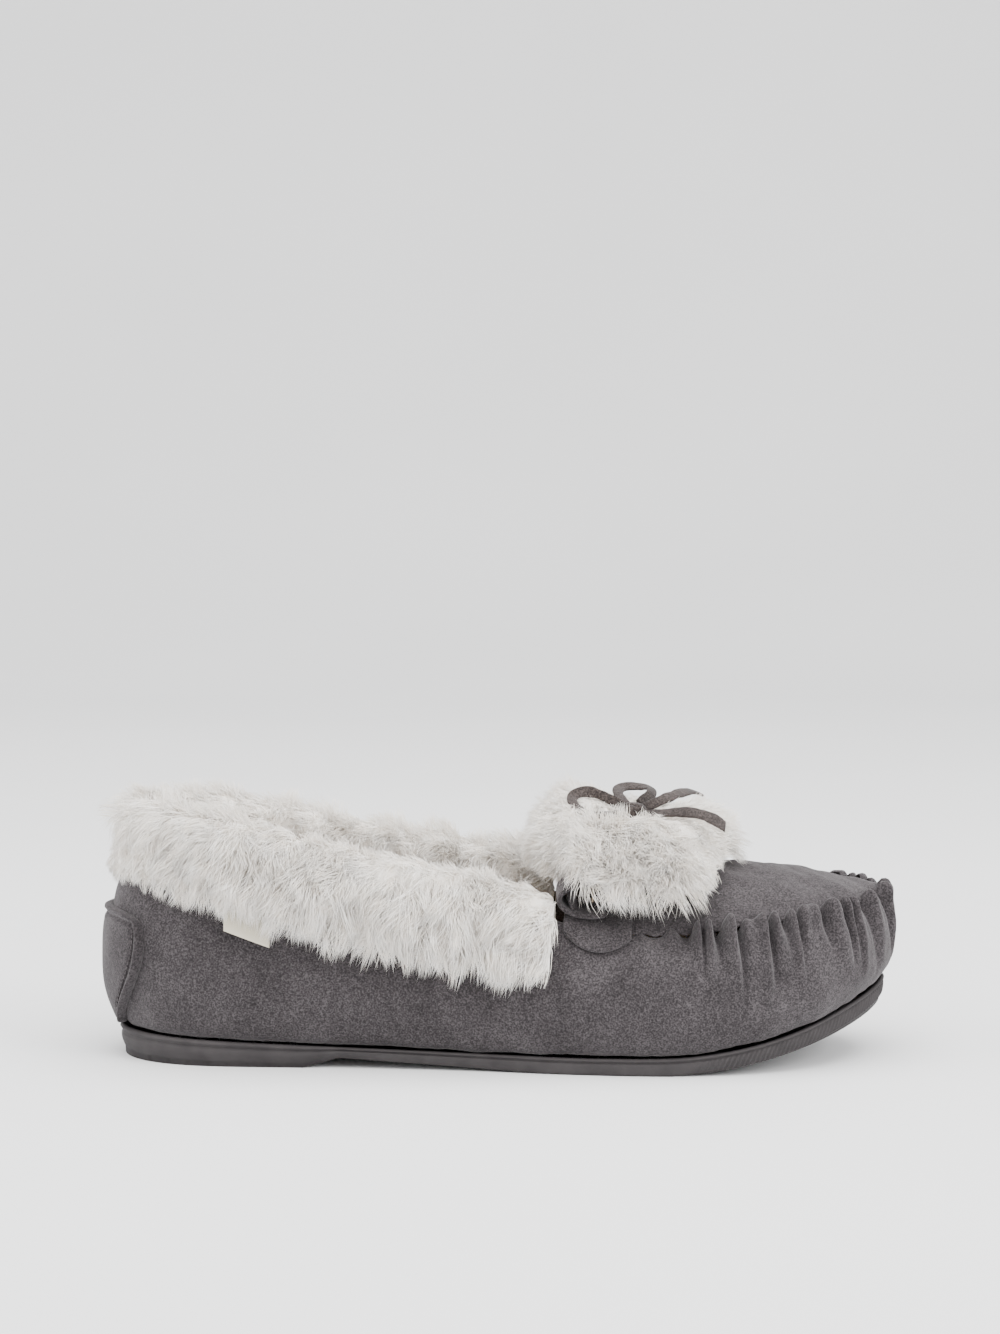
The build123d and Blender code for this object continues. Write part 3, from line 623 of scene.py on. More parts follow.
def collar_arch(s, k):
    """The band's inner face over the top edge: up the outside of the wall, over in a half circle
    and down inside, as k goes from 0 to 1."""
    deep = SUEDE + LINING + 0.0006 + behind_stiffener(s)
    x = around(s, PLACE)[..., 0]
    low = profile([(-0.125, 0.78), (-0.080, 0.74), (-0.048, 0.64), (-0.010, 0.60),
                   (0.016, 0.60)], x)  # fmt: skip
    gap = COLLAR_GAP - 0.0012 * heelward(x)
    outside = wall(s, low + (1 - low) * np.clip(k / 0.5, 0, 1), gap)
    inside = wall(s, 1 - 0.07 * np.clip((k - 0.7) / 0.3, 0, 1), -deep)
    start, end = wall(s, 1.0, gap), wall(s, 1.0, -deep)
    half = np.linalg.norm(start - end, axis=-1, keepdims=True) / 2
    turn = np.pi * np.clip((k - 0.5) / 0.2, 0, 1)[..., None]
    over = (start + end) / 2 + (start - end) / 2 * np.cos(turn)
    over[..., 2:] += half * np.sin(turn)
    return np.where((k <= 0.5)[..., None], outside, np.where((k >= 0.7)[..., None], inside, over))


def collar_skins(rows=60, columns=300, share=0.62):
    """The band's inner face, its outer face at this share of the pile's depth, and the share k of
    the way over the edge. It is thickest where it hangs and along the crest."""
    ends = station(COLLAR_FRONT, outer=False) - 1, station(COLLAR_FRONT)
    s, k = np.broadcast_arrays(np.linspace(*ends, columns)[None], np.linspace(0, 1, rows)[:, None])
    inner = collar_arch(s, k)
    normal = unit(np.cross(np.gradient(inner, axis=1), np.gradient(inner, axis=0)))
    x = around(s, PLACE)[..., 0]
    hanging = profile([(-0.125, 0.001), (-0.105, 0.0020), (-0.060, 0.0045), (0.016, 0.004)], x)
    thick = 0.0022 + hanging * np.sin(np.pi * np.clip(k / 0.7, 0, 1))
    crest = profile([(-0.125, 0.0060), (-0.080, 0.0045), (-0.040, 0.0036), (-0.010, 0.0060),
                     (0.016, 0.0078)], x)  # fmt: skip
    crest = crest * (1 - 0.75 * pressed(x, inner[..., 1]))
    thick += crest * np.exp(-(((k - 0.59) / 0.11) ** 2))
    thick = np.where(k > 0.7, np.maximum(0.003, thick), thick) * share
    thick *= np.sqrt(rounded(rows, columns, 5 / rows, 8 / columns))
    lumps = 1 + 0.22 * drift(inner, 0.013, 41)
    return inner, inner + normal * (thick * lumps)[..., None], k


inner, outer, k = collar_skins()
collar = skin("collar_band", *shell(outer, inner), fur_material)
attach(collar, "slipper")
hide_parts("collar_fur")

up_wall = unit(np.gradient(outer, axis=0))
to_toe = unit(np.gradient(outer, axis=1)) * np.sign(-outer[..., 1:2])
turn_over = 1 / (1 + np.exp(-(k - 0.60) / 0.035))
back = 0.25 + 0.35 * np.clip(outer[..., :1] / 0.012, 0, 1)
flow = unit(up_wall * (2 * turn_over - 1)[..., None] - back * to_toe)
length = np.interp(k, (0, 0.15, 0.5, 0.62, 0.75, 1),
                   (0.0100, 0.0120, 0.0120, 0.0085, 0.0045, 0.0030))  # fmt: skip
lean = np.interp(k, (0, 0.12, 0.4, 0.6, 0.8, 1), (0.88, 0.82, 0.74, 0.60, 0.80, 0.88))
at_heel = heelward(outer[..., 0])
lean = lean + (0.97 - lean) * at_heel * (k < 0.55)
length = length * (1 - 0.50 * at_heel * (k < 0.50))
low_crest = pressed(outer[..., 0], outer[..., 1])
length = length * (1 - 0.35 * low_crest * np.exp(-(((k - 0.60) / 0.12) ** 2)))
front = np.clip((outer[..., 0] - 0.006) / 0.008, 0, 1)
lean = lean + (0.88 - lean) * front
COATS, COLLAR_TUFTS, TUFT_HAIRS = 5, 350, 30
collar_coats = [
    coat(f"collar_pile_{part}", outer, flow, length, lean, COLLAR_TUFTS, TUFT_HAIRS, 500 + part)
    for part in range(COATS)
]
for pile in collar_coats:
    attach(pile, "slipper")

# ---- lace bow ------------------------------------------------------------------------------------
# A flat suede lace comes up through the cuff, is knotted on top and ends in two loops and two
# tails. Each run starts in the knot. The tails are cut on a slant.

LACE_DARK = (0.015, 0.012, 0.011)
LACE_MID = (0.036, 0.029, 0.027)
LACE_LIGHT = (0.075, 0.062, 0.058)
lace_suede = suede("lace_suede", LACE_DARK, LACE_MID, LACE_LIGHT)

LACE_WIDTH, LACE_THICK = 0.0036, 0.0010
KNOT = np.array((0.042, -0.003, 0.076))
LACES = {
    "bow_loop_outer": [
        (0.0395, -0.0055, 0.0762), (0.0345, -0.009, 0.0755), (0.0285, -0.012, 0.076),
        (0.0235, -0.0105, 0.0785), (0.022, -0.0055, 0.0815), (0.0265, -0.002, 0.083),
        (0.0325, -0.0015, 0.0815), (0.0385, -0.0026, 0.078)],
    "bow_loop_inner": [
        (0.040, 0.0005, 0.078), (0.0375, 0.005, 0.0805), (0.0375, 0.0105, 0.082),
        (0.041, 0.0145, 0.0825), (0.0465, 0.015, 0.082), (0.049, 0.0105, 0.0815),
        (0.0475, 0.0055, 0.0802), (0.044, 0.001, 0.0782)],
    "bow_tail_outer": [
        (0.0445, -0.0045, 0.0755), (0.0505, -0.0085, 0.0765), (0.056, -0.012, 0.0775),
        (0.0613, -0.0155, 0.0775), (0.066, -0.0198, 0.0765), (0.0693, -0.025, 0.0745)],
    "bow_tail_inner": [
        (0.0445, -0.002, 0.077), (0.0502, 0.0, 0.0793), (0.055, 0.0055, 0.0805),
        (0.059, 0.011, 0.081), (0.062, 0.017, 0.0805), (0.064, 0.023, 0.079)],
}  # fmt: skip
LACE_TWIST = {"bow_loop_outer": 22, "bow_loop_inner": -30,
              "bow_tail_outer": 12, "bow_tail_inner": -14}  # fmt: skip


def route_line(name, route):
    """Points along the smooth curve that a cord's route controls."""
    curve = bpy.data.curves.new(name + "_route", "CURVE")
    curve.dimensions = "3D"
    curve.resolution_u = 14
    spline = curve.splines.new("NURBS")
    spline.points.add(len(route) - 1)
    for point, place in zip(spline.points, route):
        point.co = (*place, 1)
    spline.order_u = 3
    spline.use_endpoint_u = True
    holder = bpy.data.objects.new(name + "_route", curve)
    bpy.context.scene.collection.objects.link(holder)
    bpy.context.view_layer.update()
    graph = bpy.context.evaluated_depsgraph_get()
    drawn = bpy.data.meshes.new_from_object(holder.evaluated_get(graph))
    line = np.array([tuple(v.co) for v in drawn.vertices])
    bpy.data.objects.remove(holder)
    bpy.data.meshes.remove(drawn)
    return line


def lace(name, twist, cut):
    """A flat strip with rounded edges along the route. It turns by twist degrees on the way, and
    the last few millimetres slope across its width when it is cut."""
    line = route_line(name, LACES[name])
    ahead = unit(np.gradient(line, axis=0))
    share = np.linspace(0, 1, len(line))[:, None]
    wide = unit(np.cross(ahead, unit(np.array([[0.12, -0.72, 0.69]]) + 0 * ahead)))
    flat = np.cross(ahead, wide)
    turn = np.radians(twist) * np.sin(2.4 * share - 0.6)
    wide, flat = (wide * np.cos(turn) + flat * np.sin(turn),
                  flat * np.cos(turn) - wide * np.sin(turn))  # fmt: skip
    angle = np.linspace(0, 2 * np.pi, 22, endpoint=False)
    a = LACE_WIDTH / 2 * np.sign(np.cos(angle)) * np.abs(np.cos(angle)) ** 0.45
    b = LACE_THICK / 2 * np.sign(np.sin(angle)) * np.abs(np.sin(angle)) ** 0.6
    sway = 1 + 0.10 * drift(line, 0.006, 61)[:, None]
    ring = line[:, None] + (a * sway)[..., None] * wide[:, None] + b[None, :, None] * flat[:, None]
    slope = np.clip((share - 0.86) / 0.14, 0, 1) ** 2 * cut
    ring += (slope * a / LACE_WIDTH * 2 * 0.0019)[..., None] * ahead[:, None]
    count = len(angle)
    faces = quads(len(line), count, ring=True)
    ends = [list(range(count))[::-1], [(len(line) - 1) * count + i for i in range(count)]]
    piece = skin(name + "_lace", ring, faces.tolist() + ends, lace_suede)
    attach(piece, "cuff")
    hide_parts(name)
    return line


bow_line = np.vstack([lace(name, LACE_TWIST[name], float("tail" in name)) for name in LACES])

# ---- knot ----------------------------------------------------------------------------------------
# The lace wrapped once round itself: a small cushion with one band over it on the slant. It is
# drawn tight and sits on the fur.


def make_knot():
    """An ellipsoid with flattened sides, and a raised band across it that slopes 30 degrees."""
    a = np.linspace(0, 2 * np.pi, 60, endpoint=False)[None]
    b = np.linspace(-np.pi / 2, np.pi / 2, 40)[:, None]
    unit_ball = np.stack([np.cos(b) * np.cos(a), np.cos(b) * np.sin(a), np.sin(b) + 0 * a], -1)
    boxy = np.sign(unit_ball) * np.abs(unit_ball) ** 0.8
    lean = boxy[..., 1] * 0.87 + boxy[..., 0] * 0.5
    crease = np.exp(-(((np.abs(lean) - 0.5) / 0.07) ** 2))
    band = 0.10 * np.exp(-((lean / 0.42) ** 6)) - 0.06 * crease
    return KNOT + boxy * (1 + band)[..., None] * (0.0040, 0.0043, 0.0030)


ball = make_knot()
knot = skin("knot_lace", ball, quads(*ball.shape[:2], ring=True).tolist(), lace_suede)
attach(knot, "cuff")
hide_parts("bow_knot")

# ---- fur cuff ------------------------------------------------------------------------------------
# The tongue's fur side, turned outwards by the fold: a soft pillow of fur on top of the foot. The
# bow is tied through it, so that it is pressed down in the middle.

CUFF_BACK_HALF_WIDTH, PAD_FRONT, PILE = 0.0165, CUFF_FRONT - 0.007, 0.013
BOW_POINTS = np.vstack([bow_line[::4], KNOT - (0, 0, 0.0015)])


def bow_gap(points):
    """How far each point is from the bow, seen from above."""
    return np.sqrt(((points[..., None, :2] - BOW_POINTS[:, :2]) ** 2).sum(-1)).min(-1)


def bow_height(points):
    """The height of the part of the bow that is nearest, seen from above."""
    return BOW_POINTS[((points[..., None, :2] - BOW_POINTS[:, :2]) ** 2).sum(-1).argmin(-1), 2]


def cuff_skins(columns=70, share=0.80):
    """The underside follows the tongue. The top stands the pile's depth over it, falls to it on a
    rounded edge at the sides and front, and dips round the knot."""
    under = tongue_path(SUEDE + 0.0004, 205, PAD_FRONT, 26, 50)
    k = np.linspace(0, 1, len(under))
    ahead = np.gradient(under, axis=0)
    normal = np.stack([-ahead[:, 1], ahead[:, 0]], 1)
    normal /= np.linalg.norm(normal, axis=1)[:, None]
    front = np.sqrt(1 - np.clip((k - 0.80) / 0.20, 0, 0.999) ** 2)
    thick = share * (0.002 + (PILE - 0.002) * np.clip(0.45 + k / 0.6, 0, 1)) * front
    forward = np.clip((under[:, 0] - (FOLD_X - 0.005)) / 0.006, 0, 1) * (k > 0.2)
    forward = forward**2 * (3 - 2 * forward)
    width = CUFF_BACK_HALF_WIDTH + (TONGUE_HALF_WIDTH + 0.001 - CUFF_BACK_HALF_WIDTH) * forward
    width *= 1 - 0.34 * np.clip((under[:, 0] - 0.046) / 0.021, 0, 1) ** 2
    base = across(under, width, columns)
    top = across(under + thick[:, None] * normal, width, columns)
    t = np.abs(np.linspace(-1, 1, columns))[None]
    kept = (1 - t**2.3) ** 0.55
    top = base + (top - base) * kept[..., None]
    top = top + (top - base) * 0.10 * drift(top, 0.014, 51)[..., None]
    gap = bow_gap(top)
    reach = np.where(top[..., 1] < -0.004, 0.0115, 0.0070)
    bed = np.exp(-((gap / reach) ** 4)) * (k > 0.3)[:, None]
    ceiling = bow_height(top) - 0.0034
    top[..., 2] -= bed * np.clip(top[..., 2] - ceiling, 0, 0.009)
    top[..., 2] = np.maximum(top[..., 2], base[..., 2] + 0.0012 * kept)
    return base, top, np.broadcast_to(t, gap.shape)


base, top, t = (grid[:, ::-1] for grid in cuff_skins())
cuff = skin("cuff_pad", *shell(top, base), fur_material)
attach(cuff, "cuff")
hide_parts("cuff_fur")

CUFF_CENTRE, CUFF_COATS, CUFF_TUFTS = (0.040, 0.0, 0.060), 3, 330
outward = unit((top - CUFF_CENTRE) * (1, 1.1, 0.4))
flow = unit(outward + (0.10, 0, -0.45))
away = np.clip((bow_gap(top) - 0.0035) / 0.010, 0, 1) * (np.arange(len(top)) > 12)[:, None]
rear = np.clip((0.024 - top[..., 0]) / 0.010, 0, 1)
length = 0.0036 + 0.0100 * np.maximum(away * (1 - 0.45 * rear), 0.45 * rear)
lean = 0.74 - 0.20 * away + 0.16 * t**2 * away
for part in range(CUFF_COATS):
    pile = coat(f"cuff_pile_{part}", top, flow, length, lean, CUFF_TUFTS, TUFT_HAIRS, 700 + part)
    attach(pile, "cuff")

# ---- heel patch ----------------------------------------------------------------------------------
# A suede panel over the heel seam, wide at the top and narrow at the sole. Its edge is turned under
# and sewn down close to the fold, so that it stands in a rounded roll.

PATCH_LOW, PATCH_WIDE, PATCH_RISE, PATCH_GROOVE = 0.011, 0.028, 0.574, 0.0031


def patch_edge(k):
    """The patch's half-width, as a station, and its rise, at k from 0, the sole, to 1."""
    width = PATCH_LOW + (PATCH_WIDE - PATCH_LOW) * np.sin(np.clip(k / 0.8, 0, 1) * np.pi / 2)
    return width / AROUND, 0.02 + PATCH_RISE * k


def make_patch():
    """A sheet over the heel of the wall. It stands out by the suede, plus a bell-shaped roll along
    its rim, less a narrow groove inside that for the stitches, plus a puff that grows inwards."""
    rows, columns = 60, 90
    k = np.linspace(0, 1, rows)[:, None]
    half, rise = patch_edge(k)
    t = np.linspace(-1, 1, columns)[None]
    corner = np.clip((k - 0.84) / 0.16, 0, 1)
    s = half * t * (1 - 0.16 * (1 - np.sqrt(1 - 0.98 * corner**2)))
    v = rise - 0.05 * k * np.clip(np.abs(t) - 0.5, 0, 1) ** 2 * 2
    inset = np.minimum((1 - np.abs(t)) * half * AROUND, (1 - k) * 0.040 + 0.0004)
    roll = 0.0011 * np.exp(-(((inset - 0.0010) / 0.0011) ** 2))
    groove = -0.0007 * np.exp(-(((inset - PATCH_GROOVE) / 0.0007) ** 2))
    puff = 0.0008 * (1 - np.exp(-inset / 0.006))
    edge = rounded(rows, columns, 2 / rows, 2 / columns)
    out = 0.0004 + (SUEDE + roll + groove + puff) * edge + 0.0002 * drift(wall(s, v), 0.012, 71)
    return shell(wall(s, v, out), wall(s, v, -0.0002))


patch = skin("heel_patch_suede", *make_patch(), grey_suede)
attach(patch, "slipper")
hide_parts("heel_patch")

# ---- threads -------------------------------------------------------------------------------------
# Waxed thread in the suede's own colour: round the heel patch in its groove, through the bottoms of
# the gathers, and round each wing at the throat.

thread_material, tree, shader, where = blank("waxed_thread", Roughness=0.6)
THREAD_DARK, THREAD_LIGHT = (0.018, 0.014, 0.015), (0.052, 0.043, 0.046)
twist_colour = mottle(tree, where, 2400, 1, (THREAD_DARK, THREAD_LIGHT), (0.4, 0.6))
tree.links.new(twist_colour, shader.inputs["Base Color"])


def threads(name, starts, ends, radius, replaced, arch=0.0002):
    """Short closed threads from starts to ends: nine rings of ten points each, whose line rises in
    the middle and dives into the suede at both ends."""
    t = np.linspace(0, 1, 9)
    line = starts[:, None] * (1 - t)[None, :, None] + ends[:, None] * t[None, :, None]
    line = line + (arch * np.sin(np.pi * t))[None, :, None] * (0, 0, 1)
    ahead = unit(ends - starts)[:, None]
    side = unit(np.cross(ahead, (0.31, 0.22, 0.93)))
    over = np.cross(ahead, side)
    turn = np.linspace(0, 2 * np.pi, 10, endpoint=False)
    size = radius * np.sqrt(np.clip(1 - (2 * t - 1) ** 8, 0.02, 1))
    spoke = np.cos(turn)[:, None, None, None] * side + np.sin(turn)[:, None, None, None] * over
    ring = line[:, :, None] + size[None, :, None, None] * spoke.transpose(1, 2, 0, 3)
    faces = []
    for i in range(len(starts)):
        first = i * 90
        faces += quads(9, 10, first, ring=True).tolist()
        faces += [list(range(first, first + 10))[::-1], list(range(first + 80, first + 90))]
    piece = skin(name, ring, faces, thread_material)
    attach(piece, "slipper")
    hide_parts(replaced)


def patch_line(count=21):
    """Starts and ends of the stitches in the patch's groove, up one side and down the other."""
    k = np.linspace(0.05, 0.93, count)
    starts, ends = [], []
    for side in (-1, 1):
        for a, b in zip(k[:-1], k[:-1] + 0.68 * np.diff(k)):
            pair = []
            for at in (a, b):
                half, rise = patch_edge(at)
                s = side * (half - PATCH_GROOVE / AROUND)
                pair.append(wall(s, rise, SUEDE + 0.0006))
            starts.append(pair[0])
            ends.append(pair[1])
    return np.array(starts), np.array(ends)


threads("patch_thread", *patch_line(), 0.00028, "patch_stitches")


def seam_line():
    """Starts and ends of the stitches at the bottoms of the gathers, from the vamp to the apron."""
    s = np.linspace(station(0.040), station(0.040, outer=False), 2600)
    height = pleats(s, 0.985)
    low = np.flatnonzero((height[1:-1] < height[:-2]) & (height[1:-1] <= height[2:])) + 1
    s = s[low]
    inward = around(s, NORMAL)
    start = wall(s, 0.965, pleats(s, 0.965) - 0.0002)
    end = wall(s, 1.0, -0.0012)
    end[:, :2] -= 0.0022 * inward
    end[:, 2] += 0.0006
    return start, end


threads("seam_thread", *seam_line(), 0.00032, "seam_stitches", 0.0012)


def throat_line():
    """Starts and ends of the stitches round the curved edge of each wing."""
    starts, ends = [], []
    for outer_side in (True, False):
        rim = sorted((station(TAB_FROM, outer_side), station(TAB_TO, outer_side)))
        for a in np.linspace(0.10, 0.86, 12):
            pair = []
            for at in (a, a + 0.045):
                s = rim[0] + (rim[1] - rim[0]) * at
                pair.append(wall(s, tab_rim(at) + 0.035, SUEDE + 0.0004))
            starts.append(pair[0])
            ends.append(pair[1])
    return np.array(starts), np.array(ends)


threads("throat_thread", *throat_line(), 0.00025, "throat_stitches")

# ---- side label ----------------------------------------------------------------------------------
# A blank tab of cream woven ribbon, folded double. Its raw ends are caught under the edge of the
# fur, and its fold hangs over the suede.

LABEL_BACK, LABEL_FRONT = -0.0845, -0.0704

ribbon, tree, shader, where = blank("ribbon", Roughness=0.85, Specular_IOR_Level=0.2)
weave = node(tree, "ShaderNodeTexWave", Scale=1500, Distortion=0.4, bands_direction="Z")
tree.links.new(where, weave.inputs["Vector"])
ribbon_colour = mixed(tree, weave.outputs["Fac"], (0.50, 0.46, 0.36, 1), (0.66, 0.61, 0.50, 1))
tree.links.new(ribbon_colour, shader.inputs["Base Color"])
bumps(tree, shader, where, [(3000, 1, 0.0001, 0.3)])


def make_label():
    """A thin double sheet over the wall, a little lower in front, with a soft fold along its foot
    and a slight curl away from the suede."""
    rows, columns = 26, 30
    t = np.linspace(0, 1, rows)[:, None]
    k = np.linspace(0, 1, columns)[None]
    s = station(LABEL_BACK) + (station(LABEL_FRONT) - station(LABEL_BACK)) * k
    low = 0.575 - 0.055 * k
    v = low + 0.30 * t
    lift = 0.0009 + 0.0012 * (1 - t) ** 2 + 0.0004 * np.sin(3 * k + 2 * t)
    half = 0.00032 * rounded(rows, columns, 1 / rows, 1 / columns) + 0 * s
    return shell(wall(s, v, lift + half), wall(s, v, lift - half))


label = skin("label_ribbon", *make_label(), ribbon)
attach(label, "slipper")
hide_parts("side_label")

# ---- outsole -------------------------------------------------------------------------------------
# One low rubber moulding in dark grey-brown: a bevelled heel block, a raised waist, a forefoot that
# springs up at the toe, fine slanted ribs on the toe's edge and cross grooves in the tread.

SOLE_BOTTOM = [(-0.126, 0), (-0.061, 0), (-0.050, 0.0032), (0.012, 0), (0.052, 0), (0.072, 0.0022),
               (0.095, 0.0076), (0.111, 0.013), (0.126, 0.019)]  # fmt: skip
SOLE_INSET, BEVEL, RIB, RIB_PITCH = 0.0032, 0.0020, 0.00028, 0.0017
TOE_SPRING, TREAD_GROOVE, TREAD_PITCH = 0.052, 0.0011, 0.006
RUBBER_DARK, RUBBER_LIGHT = (0.027, 0.0235, 0.0245), (0.038, 0.0335, 0.0345)

rubber, tree, shader, where = blank("sole_rubber", Roughness=0.72, Specular_IOR_Level=0.35)
rubber_colour = mottle(tree, where, 160, 3, (RUBBER_DARK, RUBBER_LIGHT), (0.35, 0.7))
tree.links.new(rubber_colour, shader.inputs["Base Color"])
bumps(tree, shader, where, [(1400, 3, 0.0002, 0.25)])


def underside(x):
    """The sole's lower line: straight steps under the heel and waist, and a curve from the toe
    spring on."""
    steps = np.array(SOLE_BOTTOM)
    flat = np.interp(x, steps[:, 0], steps[:, 1])
    return np.where(x > TOE_SPRING, profile(SOLE_BOTTOM[4:], x), flat)


def make_sole():
    """Closed rings round the plan: from the middle out to the edge's top, down the edge, and back
    in under it. The edge is bevelled under the heel, has a groove below its lip and ribs near the
    toe. Both ways across lie at the tread's height, so the rubber is a rim with a thin floor."""
    u = np.arange(1200) / 1200
    s = u + 0.07 * np.sin(2 * np.pi * u)
    place, normal = around(s, PLACE), around(s, NORMAL)
    x = place[:, 0]
    top, bottom = profile(SOLE_TOP, x), underside(x)
    heel = 1 / (1 + np.exp((x + 0.048) / 0.004))
    toe = np.clip((x - 0.058) / 0.012, 0, 1)
    rows = []
    for t in np.linspace(0.0, 1.0, 26):
        lip = 0.0005 * np.exp(-(((t - 0.10) / 0.07) ** 2))
        lip = lip - 0.0005 * np.exp(-(((t - 0.25) / 0.05) ** 2))
        under = (0.0004 + BEVEL * heel) * np.clip((t - 0.45) / 0.55, 0, 1) ** 1.5
        ends = -0.0006 * (abs(2 * t - 1) ** 10)
        ribs = np.sin(2 * np.pi * (s * AROUND / RIB_PITCH + 1.6 * t)) * RIB * toe
        out = -SOLE_INSET + lip - under + ends + ribs * (0.3 < t < 0.95)
        z = top + (bottom - top) * t
        rows.append(np.concatenate([place + out[:, None] * normal, z[:, None]], 1))
    edge = np.array(rows)
    centre = np.stack([np.clip(x, -0.098, 0.100), 0 * x, 0 * x], 1)
    shares = 1 - np.linspace(0, 1, 18)[1:] ** 1.2 * 0.995
    lids = []
    for rim, steps in ((edge[0], shares[::-1]), (edge[-1], shares)):
        for q in steps:
            spot = rim * q + centre * (1 - q)
            x = spot[:, 0]
            wave = 0.5 + 0.5 * np.cos(2 * np.pi * (x + 0.108) / TREAD_PITCH)
            tread = ((x > -0.110) & (x < -0.066)) | ((x > 0.014) & (x < 0.054))
            groove = TREAD_GROOVE * tread * np.clip((wave - 0.78) / 0.12, 0, 1) * (q < 0.93)
            lids.append(np.stack([x, spot[:, 1], underside(x) + groove], 1))
    half = len(shares)
    return np.concatenate([lids[:half], edge, lids[half:]])


rings = make_sole()
sides = quads(rings.shape[0], rings.shape[1], ring=True)[:, ::-1].tolist()
last = rings.shape[1] * (rings.shape[0] - 1)
lids = [list(range(rings.shape[1])), [last + i for i in range(rings.shape[1])][::-1]]
sole = skin("outsole_rubber", rings, sides + lids, rubber)
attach(sole, "slipper")
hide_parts("outsole")

# ---- plush lining --------------------------------------------------------------------------------
# Short beige pile fabric against the foot: a panel inside the back part, one inside the toe, one
# under the apron and the sock, each stuck down to the piece behind it.

plush, tree, shader, where = blank(
    "plush", Roughness=0.95, Specular_IOR_Level=0.1, Sheen_Weight=0.3,
    Sheen_Roughness=0.5)  # fmt: skip
plush_colour = mottle(tree, where, 420, 3, ((0.50, 0.38, 0.26), (0.78, 0.66, 0.52)), (0.32, 0.68))
tree.links.new(plush_colour, shader.inputs["Base Color"])
bumps(tree, shader, where, [(700, 3, 0.0010, 0.6), (2200, 2, 0.0005, 0.5)])


def make_lining():
    """A sheet of the lining's thickness inside the back of the wall, uneven on its inner face and
    set deeper behind the heel counter."""
    rows, columns = 44, 280
    ends = station(0.014, outer=False) - 1, station(0.014)
    s = np.linspace(*ends, columns)[None]
    v = np.linspace(0.04, 0.99, rows)[:, None]
    depth = SUEDE + GAP + behind_stiffener(s)
    inside = wall(s, v, -depth - LINING)
    relief = 0.0005 * drift(inside, 0.0030, 81) + 0.0006 * drift(inside, 0.0085, 82)
    return shell(wall(s, v, -depth), wall(s, v, -depth - LINING - relief))


lining = skin("lining_plush", *make_lining(), plush)
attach(lining, "slipper")
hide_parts("quarter_lining")


def make_front_lining():
    """The plush inside the vamp, clear of the bottoms of the gathers."""
    s = np.linspace(station(0.024), station(0.024, outer=False), 300)[None]
    v = np.linspace(0.05, 0.84, 40)[:, None]
    depth = SUEDE + 0.0004 + 0.0018 * np.clip((v - 0.35) / 0.35, 0, 1) * np.ones_like(s)
    inside = wall(s, v, -depth - 0.0022)
    relief = 0.0004 * drift(inside, 0.0030, 83) + 0.0004 * drift(inside, 0.0085, 84)
    return shell(wall(s, v, -depth), wall(s, v, -depth - 0.0022 - relief))


front_lining = skin("front_lining_plush", *make_front_lining(), plush)
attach(front_lining, "slipper")
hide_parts("vamp_lining")


def make_apron_lining():
    """The plush under the apron, cut smaller than it."""
    middle = apron_sheet(100, 60, 0.0042, 0.0050)
    relief = (0.0004 * drift(middle, 0.0030, 85))[..., None] * np.array((0, 0, 1.0))
    return shell(middle - (0, 0, 0.0011) - relief, middle + (0, 0, 0.0011))


apron_lining = skin("apron_lining_plush", *make_apron_lining(), plush)
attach(apron_lining, "slipper")
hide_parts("apron_lining")


def make_sock(rows=90, columns=60):
    """The plan outline, set in, in lines across from heel to toe, with a pile relief on top."""
    k = np.linspace(0.004, 0.496, rows)
    outer, inner = around(k, PLACE), around(1 - k, PLACE)
    outer = outer - 0.0088 * around(k, NORMAL)
    inner = inner - 0.0088 * around(1 - k, NORMAL)
    t = np.linspace(0, 1, columns)[None, :, None]
    spot = outer[:, None] * (1 - t) + inner[:, None] * t
    low = profile(SOLE_TOP, spot[..., 0]) + 0.0071
    top = np.concatenate([spot, (low + 0.0026)[..., None]], -1)
    top[..., 2] += 0.0003 * drift(top, 0.0030, 91) + 0.0004 * drift(top, 0.009, 92)
    return shell(np.concatenate([spot, low[..., None]], -1), top)


sock = skin("sock_plush", *make_sock(), plush)
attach(sock, "slipper")
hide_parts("sock")

# ---- pieces kept at their own shape --------------------------------------------------------------
# What is sealed inside or nearly so: a fibre board and a foam bed stuck under the sock, a fibre
# counter between the heel's suede and lining, and the run of lace under the cuff.

board, tree, shader, where = blank("fibre_board", Roughness=0.9)
board_colour = mottle(tree, where, 300, 3, ((0.30, 0.23, 0.16), (0.46, 0.37, 0.27)), (0.35, 0.65))
tree.links.new(board_colour, shader.inputs["Base Color"])
foam, tree, shader, where = blank("foam", Roughness=0.9)
foam_colour = mottle(tree, where, 900, 2, ((0.52, 0.48, 0.38), (0.72, 0.68, 0.56)), (0.35, 0.65))
tree.links.new(foam_colour, shader.inputs["Base Color"])
KEPT = {"insole_board": board, "heel_stiffener": board, "foam_footbed": foam,
        "lace_bridge": lace_suede}  # fmt: skip
for name, material in KEPT.items():
    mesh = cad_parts[name].data
    mesh.materials.clear()
    mesh.materials.append(material)

# ---- floor and light -----------------------------------------------------------------------------
# A pale paper sweep that curves up behind, a broad soft light above and a weaker one from each
# side, in an evenly lit room.


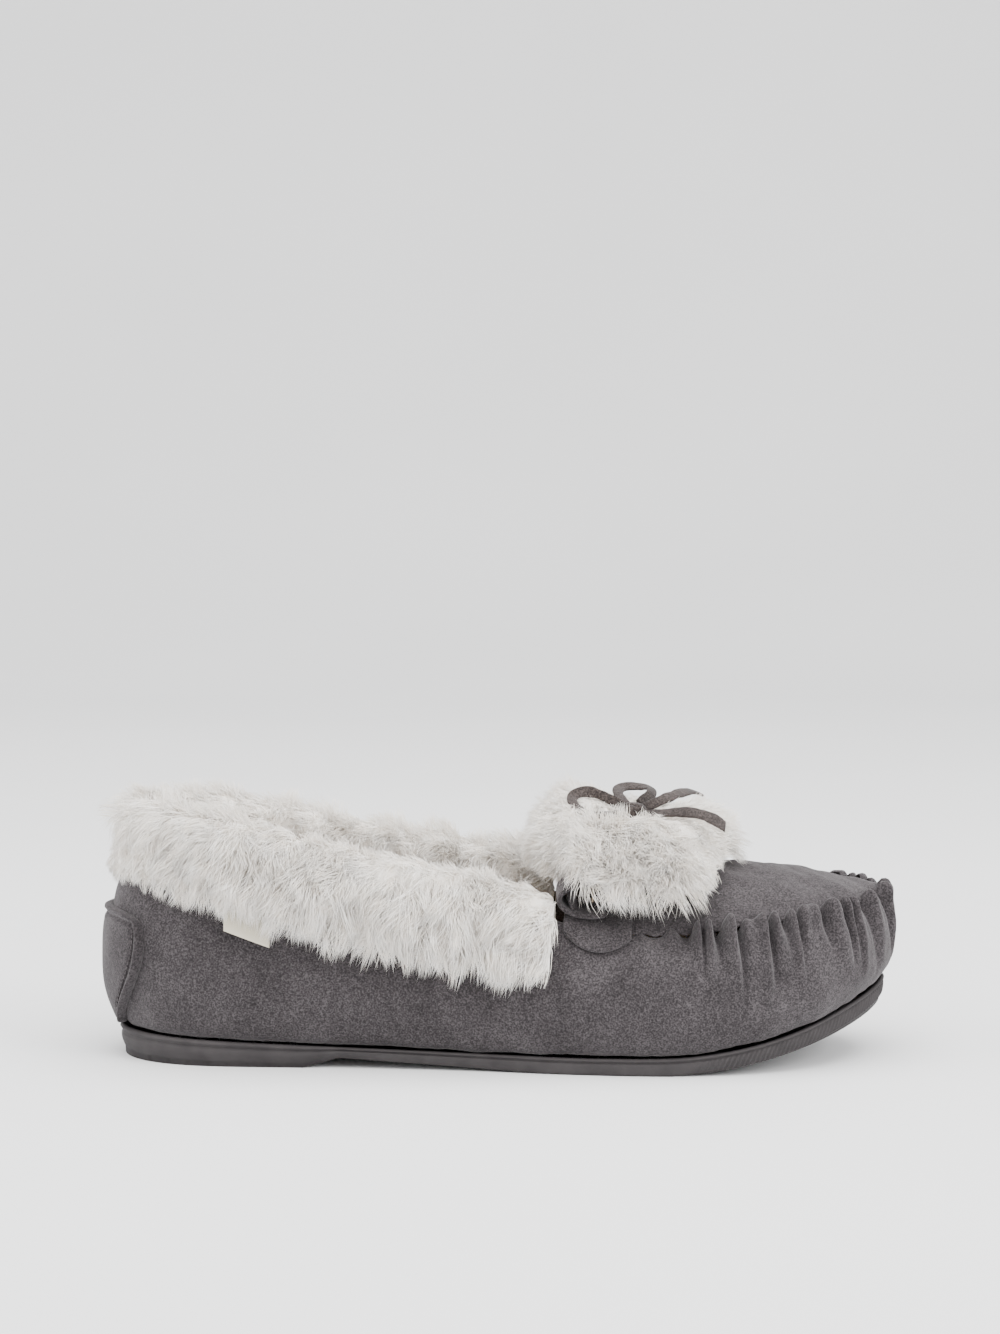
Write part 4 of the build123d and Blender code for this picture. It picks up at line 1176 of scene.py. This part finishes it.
def sweep():
    """A strip of floor that turns up into a wall on a large arc."""
    turn = np.linspace(0, np.pi / 2, 24)
    flat = np.stack([np.array([-9.0, 1.2]), np.zeros(2)], 1)
    arc = np.stack([1.2 + 0.9 * np.sin(turn), 0.9 * (1 - np.cos(turn))], 1)
    line = np.vstack([flat, arc[1:], [[2.1, 4.0]]])
    across = np.linspace(-9, 9, 13)[:, None]
    x = across + 0 * line[None, :, 0]
    return np.stack([x, line[None, :, 0] + 0 * across, line[None, :, 1] + 0 * across], -1)


paper, tree, shader, where = blank("paper", Roughness=0.95, Specular_IOR_Level=0.1)
paper_colour = mottle(tree, where, 3, 2, ((0.80, 0.805, 0.81), (0.83, 0.835, 0.84)), (0.3, 0.7))
tree.links.new(paper_colour, shader.inputs["Base Color"])
ground = sweep()
floor = skin("floor", ground, quads(*ground.shape[:2])[:, ::-1].tolist(), paper)


def soft_light(name, place, aim, size, power):
    """A square area light at place, facing aim."""
    light = bpy.data.lights.new(name, "AREA")
    light.size = size
    light.energy = power
    lamp = bpy.data.objects.new(name, light)
    bpy.context.scene.collection.objects.link(lamp)
    place, aim = np.array(place), np.array(aim)
    away = (place - aim) / np.linalg.norm(place - aim)
    side = np.cross((0, 1, 0) if abs(away[2]) > 0.95 else (0, 0, 1), away)
    side /= np.linalg.norm(side)
    over = np.cross(away, side)
    turn = np.eye(4)
    turn[:3, :3] = np.stack([side, over, away], 1)
    turn[:3, 3] = place
    lamp.matrix_world = turn.T.tolist()


soft_light("top_light", (0.1, -0.2, 1.3), (0, 0, 0.03), 1.4, 34)
soft_light("front_light", (1.15, -0.75, 0.75), (0, 0, 0.04), 0.8, 19)
soft_light("left_light", (-1.2, -0.3, 0.6), (0, 0, 0.04), 0.8, 11)
world = bpy.data.worlds.new("studio")
bpy.context.scene.world = world
world.use_nodes = True
world.node_tree.nodes["Background"].inputs["Color"].default_value = (1.0, 0.99, 0.985, 1)
world.node_tree.nodes["Background"].inputs["Strength"].default_value = 1.5
